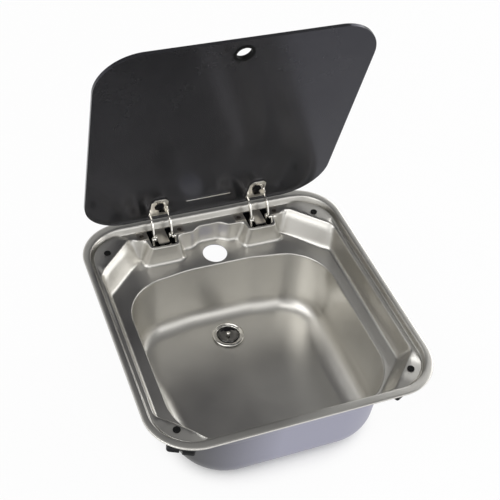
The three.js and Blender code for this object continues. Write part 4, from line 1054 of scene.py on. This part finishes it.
def build_drain():
    seat = BOWL_FLOOR_Z + GAP
    gasket = [(GASKET_IN, seat), (GASKET_OUT, seat), (GASKET_OUT, GASKET_TOP), (GASKET_IN, GASKET_TOP)]
    gasket = eased(gasket, 0.25, 3, True)
    drain_part("drain_washer", gasket, 64, "rubber", "base", "black_rubber", "drain_gasket")

    under, top = GASKET_TOP + GAP, FLANGE_TOP
    ring = [(BORE_R, FLOOR_UNDER), (NECK_R, FLOOR_UNDER), (NECK_R, under), (FLANGE_R, under),
            (FLANGE_R, top - 1.1), (FLANGE_R - 1.4, top - 0.15), (FLANGE_R - 3.2, top),
            (BORE_R + 4.6, top - 0.1), (BORE_R + 3.4, top - 0.9), (BORE_R + 2.2, top - 1.0),
            (BORE_R + 1.0, top - 1.5), (BORE_R, top - 2.8)]
    ring = eased(ring, 0.5, 4, True)
    drain_part("drain_ring", ring, 96, "ring", "base", "polished_steel", "drain_flange", mark=60)

    obj = from_tree("drain_grid", strainer_tree(finish("steel")), {
        "Radius": (BORE_R - GAP) / 1000, "Bars": bpy.context.scene.sink_sizes.spokes,
        "Centre": (0, DRAIN_Y / 1000, (FLOOR_UNDER + 0.5 + RIM_LEVEL) / 1000),
    })
    settled(obj, "base", "stainless", "drain_strainer")

    z, r = DISH_Z, STOPPER_R
    dish = [(0, z - 1.6), (r - 4, z - 1.5), (r - 0.8, z - 0.4), (r, z + 0.6), (r - 0.7, z + 1.1),
            (r - 2.2, z + 0.55), (r - 4, z + 0.1), (r / 2, z - 0.5), (3.6, z - 0.72), (0, z - 0.7)]
    dish = eased(dish, 0.6, 4)
    drain_part("stopper_dish", dish, 96, "mirror", "stopper", "black_mirror", "drain_stopper", mark=60)
    lip = [(r + 0.2, z - 0.3), (BORE_R - 0.3, z - 0.6), (BORE_R - 0.2, z + 0.2), (r + 0.5, z + 0.5)]
    lip = eased(lip, 0.3, 3, True)
    drain_part("stopper_lip", lip, 64, "rubber", "stopper", "black_rubber", "stopper_seal")
    foot = z - 0.7 + GAP
    knob = [(0, 0), (1.9, 0), (1.5, 0.7), (1.3, 2.0), (2.4, 2.8), (3.1, 3.7), (3.0, 4.6), (2.0, 5.35),
            (0.8, 5.55), (0, 5.6)]
    knob = eased([(r, foot + h) for r, h in knob], 0.6, 4)
    drain_part("stopper_pull", knob, 48, "chrome", "stopper", "polished_steel", "stopper_knob", mark=60)


# ---------------------------------------------------------------- corner fixings
def screw_profile(length, radius, head_r, head, tip=2.0, pitch=1.0, depth=0.3):
    """Profile of a threaded screw that hangs from z = 0, with a low head above it."""
    points = [(0, -length), (radius * 0.35, -length)]
    z = -length + tip
    while z < -1.5:
        points += [(radius, z), (radius - depth, z + pitch / 2)]
        z += pitch
    return points + [(radius, -1), (radius, 0), (head_r, 0), (head_r, head * 0.6), (head_r * 0.8, head),
                     (head_r * 0.45, head), (head_r * 0.38, head * 0.4), (0, head * 0.3)]


CLAW_HOLE_R = 2.8
# Heights of a claw: its hollow top, its body, and the ends of its heel and toe.
CLAW_TOP, CLAW_BODY, CLAW_FEET, CLAW_HEEL, CLAW_TOE = -22, -27, -40, -45.5, -49


def claw_shape(x, y):
    """A two-footed block that hangs on its screw, with its nose turned in along the rim."""
    turn = math.radians(26.6) * math.copysign(1, y)
    spin = turn if x < 0 else math.pi - turn
    c, s = math.cos(spin), math.sin(spin)

    def place(p):
        return np.column_stack((x + c * p[:, 0] - s * p[:, 1], y + s * p[:, 0] + c * p[:, 1], p[:, 2]))

    hole = circle(CLAW_HOLE_R, 0, 0, 32)
    hollow = box_outline(7, -3.6, 23, 3.6, 1)
    plan = rounded([(-13, -7, 5), (26, -6, 3), (26, 6, 3), (-13, 7, 5)])
    heel = rounded([(-13, -7, 5), (5, -6.5, 1), (5, 6.5, 1), (-13, 7, 5)])
    toe = rounded([(9, -6.2, 1), (26, -6, 3), (26, 6, 3), (9, 6.2, 1)])
    return together(
        slab(plan, [hole, hollow], CLAW_BODY, CLAW_TOP, place),
        slab(plan, [hole], CLAW_FEET, CLAW_BODY, place),
        slab(heel, [hole], CLAW_HEEL, CLAW_FEET, place),
        slab(toe, [], CLAW_TOE, CLAW_FEET, place),
    )


def build_fixings():
    shape = turned(screw_profile(41, 2.45, 3.75, 0.78), 24)
    places = [(x, y, PAD_Z + GAP) for x, y in FIXINGS.values()]
    obj = repeated("corner_screws", shape, places, finish("zinc"))
    settled(obj, "base", "zinc_plated", *["fixing_screw_" + c for c in FIXINGS])

    top = LID_CLOSED_Z - GAP / 2
    z, head = PAD_Z + GAP / 2 + 0.1, PAD_Z + GAP + 0.8 + 0.15
    cap = [(0, head), (4.0, head), (4.0, z), (5.2, z), (5.2, top - 0.5), (4.7, top), (2.2, top),
           (1.7, top - 0.35), (0, top - 0.4)]
    shape = turned(eased(cap, 0.22, 3), 40)
    obj = repeated("corner_bumpers", shape, [(x, y, 0) for x, y in FIXINGS.values()], finish("rubber"))
    settled(obj, "base", "black_rubber", *["corner_buffer_" + c for c in FIXINGS])
    for corner, (x, y) in FIXINGS.items():
        claw = "claw_" + corner
        piece(claw, claw_shape(x, y), "plastic", claw, "black_plastic", "fixing_" + claw,
              edge=0.0007, segments=3)


# ---------------------------------------------------------------- lid
def build_lid():
    outline = [(-LID_HALF_X, 0, LID_BACK_CORNER), (LID_HALF_X, 0, LID_BACK_CORNER),
               (LID_HALF_X, LID_LENGTH, LID_FRONT_CORNER), (-LID_HALF_X, LID_LENGTH, LID_FRONT_CORNER)]
    outer = rounded(outline, 28)
    holes = [circle(FINGER_R, 0, FINGER_Y, 64)] + [circle(5, x, STRIP_UP, 40) for x in HINGE_X.values()]
    glass = make_object("lid_glass", slab(outer, holes, -LID_THICKNESS, 0, on_lid()), finish("glass"), 50)
    with_edges(glass, 0.0006, 3)
    settled(made_plain(glass, 10), "lid", "smoked_glass", "glass_lid")

    back, lip, bore, r, neck = -LID_THICKNESS - GAP, 0.9, 10.8, 15, 12.9
    ring = [(bore + 0.4, back - lip), (r - 0.5, back - lip), (r, back), (neck, back), (neck, GAP), (r, GAP),
            (r - 0.5, GAP + lip), (bore + 0.4, GAP + lip), (bore, GAP), (bore, back)]
    ring = eased(ring, 0.35, 3, True)
    shape = turned([*ring, ring[0]], 64, on_lid(0, FINGER_Y))
    piece("finger_ring", shape, "rubber", "lid", "black_rubber", "finger_grommet")

    strip = slab(box_outline(-36, STRIP_UP - 1.3, 36, STRIP_UP + 1.3, 0.6), [], GAP, GAP + 0.8, on_lid())
    piece("trim_strip", strip, "chrome", "lid", "polished_steel", "lid_strip", edge=0.0002)


# ---------------------------------------------------------------- hinges
def strap_outline(start, end, belly=1.0, r=STRAP_HALF, steps=14):
    """A flat link with round ends, whose middle is belly times as wide."""
    a, b = np.array(start), np.array(end)
    along = (b - a) / np.linalg.norm(b - a)
    side = np.array((-along[1], along[0]))
    turn = np.linspace(-math.pi / 2, math.pi / 2, steps)
    cap_b = [b + r * (math.cos(t) * along + math.sin(t) * side) for t in turn]
    cap_a = [a - r * (math.cos(t) * along + math.sin(t) * side) for t in turn]
    share = np.linspace(0, 1, 9)[1:-1]
    half = r * (1 + (belly - 1) * np.sin(share * math.pi))
    up = [a + (b - a) * t - side * h for t, h in zip(share, half)]
    down = [a + (b - a) * t + side * h for t, h in zip(share[::-1], half[::-1])]
    return np.array([*cap_b, *down, *cap_a, *up])


def neck_outline():
    """The gooseneck of the hinge arm, from the eye at the second pin to the foot of the leaf."""
    bends = [(1.25, 2.1), (4.2, 7), (8.7, 15), (14.7, 21.2)]
    route = [(PIN_B[0] + y, PIN_B[1] + z) for y, z in bends]
    route += [lid_point(20, LEAF_Z + 3.4), lid_point(31, LEAF_Z + 2.2)]
    line = np.array(smooth_rows(route, 8))
    tangent = np.gradient(line, axis=0)
    tangent /= np.linalg.norm(tangent, axis=1)[:, None]
    normal = np.column_stack((-tangent[:, 1], tangent[:, 0]))
    t = np.linspace(0, 1, len(line))
    belly = 1 + 0.35 * np.sin(math.pi * np.clip(t / 0.8, 0, 1))
    half = (NECK_HALF * belly * (1 - 0.45 * smoothstep(t, 0.75, 1)))[:, None]
    return np.vstack((line - normal * half, (line + normal * half)[::-1]))


def leaf_shape(x):
    """The leaf on the glass, narrower towards its top, with a hole for the bolt."""
    outline = rounded([(-16.4, 14, 3), (16.4, 14, 3), (14.2, 36, 9), (13.4, 51, 3), (8, 57.5, 4),
                       (-8, 57.5, 4), (-13.4, 51, 3), (-14.2, 36, 9)], 6)
    hole = circle(BOLT_HOLE_R, 0, STRIP_UP, 32)
    return slab(outline, [hole], LEAF_Z, LEAF_Z + LEAF_THICKNESS, on_lid(x))


def pin(place_x, length, at, r=PIN_R, dome=0.5, steps=32):
    """A pin along X with domed ends."""
    half = length / 2
    profile = [(0, -half), (r * 0.6, -half + dome * 0.15), (r, -half + dome), (r, half - dome),
               (r * 0.6, half - dome * 0.15), (0, half)]
    return turned(eased(profile, 0.3, 3), steps, crosswise(*at, place_x))


def build_arm(name, x, edge):
    """Both cheeks of an arm, with an eye at each pin and a raised ring round the second, and the leaf."""
    place = crosswise(0, 0, x)
    eyes = [circle(EYE_R, *PIN_A, 24), circle(PIN_B_EYE_R, *PIN_B, 24)]
    cheeks = []
    for side in (-1, 1):
        low, high = sorted((side * CHEEK_X, side * (CHEEK_X + STRAP)))
        cheeks.append(slab(neck_outline(), [], low, high, place))
        cheeks.append(slab(strap_outline(PIN_A, PIN_B), eyes, low - 0.04, high + 0.04, place))
        cheeks.append(slab(circle(4.0, *PIN_B, 40), eyes[1:], low - 0.08, high + 0.08, place))
    piece("arm_" + name, together(*cheeks, leaf_shape(x)), "chrome", "lid", "polished_steel",
          "hinge_arm_" + name, edge=edge * 1.6, segments=3)


def strap(x, side, inner, ground, end, belly):
    """One link on the given side of its hinge, from its ground pin to its coupler pin."""
    low, high = sorted((side * inner, side * (inner + STRAP)))
    eye = circle(EYE_R, *ground, 24)
    return slab(strap_outline(ground, end, belly), [eye], low, high, crosswise(0, 0, x))


def crank(name, straps, pins, edge):
    """Links with rounded edges, joined with their rivets and bushes."""
    links = made_plain(with_edges(make_object(name, together(*straps), finish("chrome")), edge * 1.8, 3))
    return joined(links, make_object("pins", together(*pins), finish("chrome")))


def build_cranks(name, x, edge):
    straps = [strap(x, side, CRANK_A_X, GROUND_A, PIN_A, 1.3) for side in (-1, 1)]
    rivets = [pin(x + side * 15.9, 6.2, PIN_A) for side in (-1, 1)]
    bush = eased([(EYE_R, -17), (BUSH_R, -17), (BUSH_R, 17), (EYE_R, 17)], 0.3, 3, True)
    bush = turned([*bush, bush[0]], 32, crosswise(*GROUND_A, x))
    obj = crank("crank_a_straps_" + name, straps, [*rivets, bush], edge)
    settled(obj, "crank_a", "polished_steel", "hinge_crank_a_" + name)
    away = math.copysign(1, x)
    for end, side in (("outer", away), ("inner", -away)):
        link = strap(x, side, CRANK_B_X, GROUND_B, PIN_B, 1.25)
        obj = crank("crank_b_%s_%s" % (name, end), [link], [pin(x + side * 13.3, 5.0, PIN_B)], edge)
        settled(obj, "crank_b", "polished_steel", "hinge_crank_b_%s_%s" % (name, end))


def build_hinges():
    sizes = bpy.context.scene.sink_sizes
    for name, x in HINGE_X.items():
        build_arm(name, x, sizes.edge)
        build_cranks(name, x, sizes.edge)
        for letter, length, at in (("a", 2 * HOUSING_HALF - 0.2, GROUND_A), ("b", 2 * PIN_B_HALF, GROUND_B)):
            called = "pin_%s_%s" % (letter, name)
            piece(called, pin(x, length, at), "zinc", "base", "zinc_plated", "ground_" + called)
        build_spring(name, x, sizes.turns)
        tray = refined("hinge_housing_" + name, "hinge_tray_" + name, finish("plastic"))
        settled(tray, "base", "black_plastic", "hinge_housing_" + name)
        build_plate(name, x, sizes.edge)
        build_clamp(name, x)


def joined(first, *others):
    """Several finished meshes as one object."""
    bm = bmesh.new()
    for obj in (first, *others):
        bm.from_mesh(obj.data)
    bm.to_mesh(first.data)
    bm.free()
    for obj in others:
        bpy.data.objects.remove(obj)
    return first


def build_spring(name, x, turns):
    coil, wire, pitch = 2.5, 0.7, 1.7
    y, z = GROUND_B
    to_y, to_z = GROUND_A[0] - y, GROUND_A[1] - z
    apart = math.hypot(to_y, to_z)
    leave = math.atan2(to_z, to_y) - math.asin((BUSH_R + GAP + wire - coil) / apart)
    length = pitch * turns
    start = np.array((math.sin(leave), -math.cos(leave))) * -coil
    run = np.array((math.cos(leave), math.sin(leave))) * (apart + 1.5)
    tree = coil_tree(finish("zinc"))
    half = length / 2
    obj = from_tree("spring_" + name, tree, {
        "Turns": turns, "Length": length / 1000,
        "Centre": (x / 1000, y / 1000, (z + RIM_LEVEL) / 1000),
        "First leg": (-half / 1000, coil / 1000, (-46.6 - z) / 1000),
        "Last start": (half / 1000, start[0] / 1000, start[1] / 1000),
        "Last leg": (half / 1000, (start[0] + run[0]) / 1000, (start[1] + run[1]) / 1000),
        "Side": math.copysign(1, x),
    }, mark=60)
    with editing(obj.data) as bm:
        bmesh.ops.recalc_face_normals(bm, faces=bm.faces)
    settled(obj, "base", "zinc_plated", "hinge_spring_" + name)


def build_plate(name, x, edge):
    low = SHELF_Z + GAP
    high = low + 1.2
    tongue = TONGUE_FRONT + 0.4
    outline = rounded([
        (-37.5, 181, 2.5), (-20.8, 181, 0.5), (-20.8, 197.9, 1.5), (-8.3, 197.9, 1.5), (-8.3, tongue, 1.8),
        (8.3, tongue, 1.8), (8.3, 197.9, 1.5), (20.8, 197.9, 1.5), (20.8, 181, 0.5), (37.5, 181, 2.5),
        (37.5, 199, 2.5), (-37.5, 199, 2.5),
    ])
    holes = [circle(PLATE_HOLE_R, *place, 24) for place in PLATE_HOLES]
    plate = slab(outline, holes, low, high, upright(x))
    piece("base_plate_" + name, plate, "plate", "base", "zinc_plated", "hinge_plate_" + name, edge=edge)
    seat = high + GAP / 2
    shape = turned(screw_profile(7.8, 1.6, 3.5, 0.85, 1.2, 0.8, 0.25), 24)
    places = [(x + dx, y, seat) for dx, y in PLATE_HOLES]
    obj = repeated("plate_screws_" + name, shape, places, finish("dark_zinc"))
    settled(obj, "base", "zinc_plated", "plate_screw_%s_outer" % name, "plate_screw_%s_inner" % name)


def build_clamp(name, x):
    place = on_lid(x)
    pad = rounded([(-15, 16, 3), (15, 16, 3), (12.6, 50, 4), (7, 55.5, 3), (-7, 55.5, 3), (-12.6, 50, 4)], 6)
    hole = [circle(BOLT_HOLE_R, 0, STRIP_UP, 32)]
    pad = slab(pad, hole, GAP, GAP + 0.5, place)
    piece("pad_" + name, pad, "rubber", "lid", "black_rubber", "clamp_pad_" + name, edge=0.00015)
    back = -LID_THICKNESS - GAP
    washer = slab(box_outline(-12.5, 17, 12.5, 51.5, 7, 8), hole, back - 2, back, place)
    piece("washer_" + name, washer, "zinc", "lid", "zinc_plated", "clamp_plate_" + name,
          edge=0.0005, segments=3)
    seat, end = LEAF_Z + LEAF_THICKNESS + GAP, back - 3
    bolt = [(0, end), (2.6, end), (3, end + 0.4), (3, seat), (7.4, seat), (7.4, seat + 0.8),
            (6.5, seat + 1.4), (3.8, seat + 1.5), (3.1, seat + 0.8), (0, seat + 0.7)]
    bolt = turned(eased(bolt, 0.3, 3), 64, on_lid(x, STRIP_UP))
    piece("bolt_" + name, bolt, "plastic", "lid", "black_plastic", "clamp_bolt_" + name)


# ---------------------------------------------------------------- stage
# Softboxes: name, place, (width, height) in metres and power in watts.
SOFTBOXES = (
    ("softbox_left", (-1.9, -0.6, 2.6), (2.2, 2.0), 40),
    ("softbox_top", (-0.3, -1.1, 2.8), (1.2, 0.8), 10),
    ("softbox_low", (2.7, -0.6, 0.8), (1.6, 0.8), 10),
    ("softbox_front", (1.0, -2.3, 2.2), (2.0, 1.2), 12),
    ("softbox_right", (2.7, 1.6, 1.8), (2.4, 2.0), 38),
)
SINK_MIDDLE = Vector((0, 0, 0.1))
FLOOR_GAP = 0.0006

# Outline of the backdrop in metres, as (radius, height): a round floor whose edge rises in a soft curve.
BACKDROP = [(0, 0), (4.2, 0), (4.9, 0.18), (5.3, 0.7), (5.4, 1.4), (5.4, 3.4)]

# The camera: azimuth, elevation and roll in degrees, focal length in picture widths, and what it looks at.
CAMERA_ANGLES = (-24.74, 43.43, 5.75)
CAMERA_FOCAL = 1013.5 / 500
CAMERA_TARGET, CAMERA_DISTANCE = (0.0377, 0.1068), 1.5519


def softbox(name, place, size, power):
    light = bpy.data.lights.new(name, "AREA")
    light.shape = "RECTANGLE"
    light.size, light.size_y = size
    light.energy = power
    obj = linked(name, light)
    obj.location = place
    obj.rotation_euler = (SINK_MIDDLE - Vector(place)).to_track_quat("-Z", "Y").to_euler()


def seen_rays(tree):
    """1 for camera, mirror and see-through rays, so that the metal shows the camera's background."""
    path = add_node(tree, "ShaderNodeLightPath").outputs
    value = path["Is Camera Ray"]
    for name in ("Is Glossy Ray", "Is Transmission Ray"):
        value = add_math(tree, "MAXIMUM", value, path[name])
    return value


def open_share(tree):
    """How much of the backdrop shows as plain white: less close to the sink, where its shadow falls."""
    near = add_node(tree, "ShaderNodeAmbientOcclusion", {"samples": 12}, Distance=0.06)
    return ranged(tree, near.outputs["AO"], 0.2, 0.6, 0.12, 0.95)


def backdrop_mesh(steps=96):
    line = eased(BACKDROP, 0.4, 4)
    points = [(0, 0, -FLOOR_GAP)]
    turns = np.arange(steps) * 2 * math.pi / steps
    for r, h in line[1:]:
        points += [(r * math.cos(a), r * math.sin(a), h - FLOOR_GAP) for a in turns]
    faces = [[0, 1 + i, 1 + (i + 1) % steps] for i in range(steps)]
    for k in range(len(line) - 2):
        for i in range(steps):
            a, b, j = 1 + k * steps, 1 + (k + 1) * steps, (i + 1) % steps
            faces.append([a + i, b + i, b + j, a + j])
    mesh = bpy.data.meshes.new("backdrop")
    mesh.from_pydata(points, [], faces)
    mesh.shade_smooth()
    return mesh


def backdrop_material():
    """White where the camera sees it in the open, and plain diffuse where the sink's shadow falls."""
    material = bpy.data.materials.new("backdrop")
    material.use_nodes = True
    tree = material.node_tree
    tree.nodes.clear()
    share = add_math(tree, "MULTIPLY", seen_rays(tree), open_share(tree))
    mix = add_node(tree, "ShaderNodeMixShader", Fac=share)
    fill(tree, mix.inputs[1], add_node(tree, "ShaderNodeBsdfDiffuse", Color=(0.9, 0.9, 0.9)).outputs[0])
    fill(tree, mix.inputs[2], add_node(tree, "ShaderNodeEmission").outputs[0])
    add_node(tree, "ShaderNodeOutputMaterial", Surface=mix.outputs[0])
    return material


def build_stage():
    scene = bpy.context.scene
    scene.view_settings.view_transform = "Standard"
    floor = linked("backdrop", backdrop_mesh())
    floor.data.materials.append(backdrop_material())

    world = bpy.data.worlds.new("studio")
    scene.world = world
    world.use_nodes = True
    world.node_tree.nodes["Background"].inputs["Color"].default_value = (0.26, 0.26, 0.26, 1)
    world.node_tree.nodes["Background"].inputs["Strength"].default_value = 1.0
    for box in SOFTBOXES:
        softbox(*box)

    place_camera()


def place_camera():
    """The camera that was fitted to the photo's outlines."""
    azimuth, elevation, roll = (math.radians(a) for a in CAMERA_ANGLES)
    level = math.cos(elevation)
    back = Vector((math.sin(azimuth) * level, -math.cos(azimuth) * level, math.sin(elevation)))
    right = Vector((math.cos(azimuth), math.sin(azimuth), 0))
    up = back.cross(right)
    c, s = math.cos(roll), math.sin(roll)
    turn = Matrix((c * right + s * up, -s * right + c * up, back)).transposed()
    camera = bpy.data.cameras.new("camera")
    camera.sensor_width = 36
    camera.lens = CAMERA_FOCAL * camera.sensor_width
    camera.clip_end = 60
    obj = linked("camera", camera)
    obj.location = Vector((*CAMERA_TARGET, RIM_LEVEL / 1000)) + back * CAMERA_DISTANCE
    obj.rotation_mode = "QUATERNION"
    obj.rotation_quaternion = turn.to_quaternion()
    bpy.context.scene.camera = obj


# ---------------------------------------------------------------- operators
class BuildOperator:
    bl_options = {"REGISTER", "UNDO"}
    build = None

    def execute(self, context):
        type(self).build()
        return {"FINISHED"}


class SINK_OT_stage(BuildOperator, bpy.types.Operator):
    """Backdrop, lamps and camera"""
    bl_idname = "sink.stage"
    bl_label = "Stage"
    build = staticmethod(build_stage)


class SINK_OT_pressing(BuildOperator, bpy.types.Operator):
    """The pressed steel sheet with rim, shelf, deck and bowl"""
    bl_idname = "sink.pressing"
    bl_label = "Pressing"
    build = staticmethod(build_pressing)


class SINK_OT_seal(BuildOperator, bpy.types.Operator):
    """The foam seal under the rim"""
    bl_idname = "sink.seal"
    bl_label = "Rim seal"
    build = staticmethod(build_seal)


class SINK_OT_drain(BuildOperator, bpy.types.Operator):
    """Drain ring, strainer and stopper"""
    bl_idname = "sink.drain"
    bl_label = "Drain"
    build = staticmethod(build_drain)


class SINK_OT_fixings(BuildOperator, bpy.types.Operator):
    """Corner screws, buffers and claws"""
    bl_idname = "sink.fixings"
    bl_label = "Corner fixings"
    build = staticmethod(build_fixings)


class SINK_OT_lid(BuildOperator, bpy.types.Operator):
    """Glass lid with finger ring and trim strip"""
    bl_idname = "sink.lid"
    bl_label = "Lid"
    build = staticmethod(build_lid)


class SINK_OT_hinges(BuildOperator, bpy.types.Operator):
    """Both linkage hinges with springs, trays and plates"""
    bl_idname = "sink.hinges"
    bl_label = "Hinges"
    build = staticmethod(build_hinges)


OPERATORS = (
    SINK_OT_pressing, SINK_OT_seal, SINK_OT_drain, SINK_OT_fixings, SINK_OT_lid, SINK_OT_hinges,
    SINK_OT_stage,
)


class SINK_PT_panel(bpy.types.Panel):
    """Sizes, colours and build steps of the sink"""
    bl_idname = "SINK_PT_panel"
    bl_label = "Sink"
    bl_space_type = "VIEW_3D"
    bl_region_type = "UI"
    bl_category = "Sink"

    def draw(self, context):
        for group in (context.scene.sink_sizes, context.scene.sink_colours):
            for key in group.bl_rna.properties.keys():
                if key not in ("rna_type", "name"):
                    self.layout.prop(group, key)
        for operator in OPERATORS:
            self.layout.operator(operator.bl_idname)


CLASSES = (SinkSizes, SinkColours, *OPERATORS, SINK_PT_panel)


def register():
    for cls in CLASSES:
        bpy.utils.register_class(cls)
    bpy.types.Scene.sink_sizes = PointerProperty(type=SinkSizes)
    bpy.types.Scene.sink_colours = PointerProperty(type=SinkColours)


def unregister():
    del bpy.types.Scene.sink_colours
    del bpy.types.Scene.sink_sizes
    for cls in reversed(CLASSES):
        bpy.utils.unregister_class(cls)


def main():
    register()
    bpy.ops.sink.pressing()
    bpy.ops.sink.seal()
    bpy.ops.sink.drain()
    bpy.ops.sink.fixings()
    bpy.ops.sink.lid()
    bpy.ops.sink.hinges()
    bpy.ops.sink.stage()


if __name__ == "__main__":
    main()
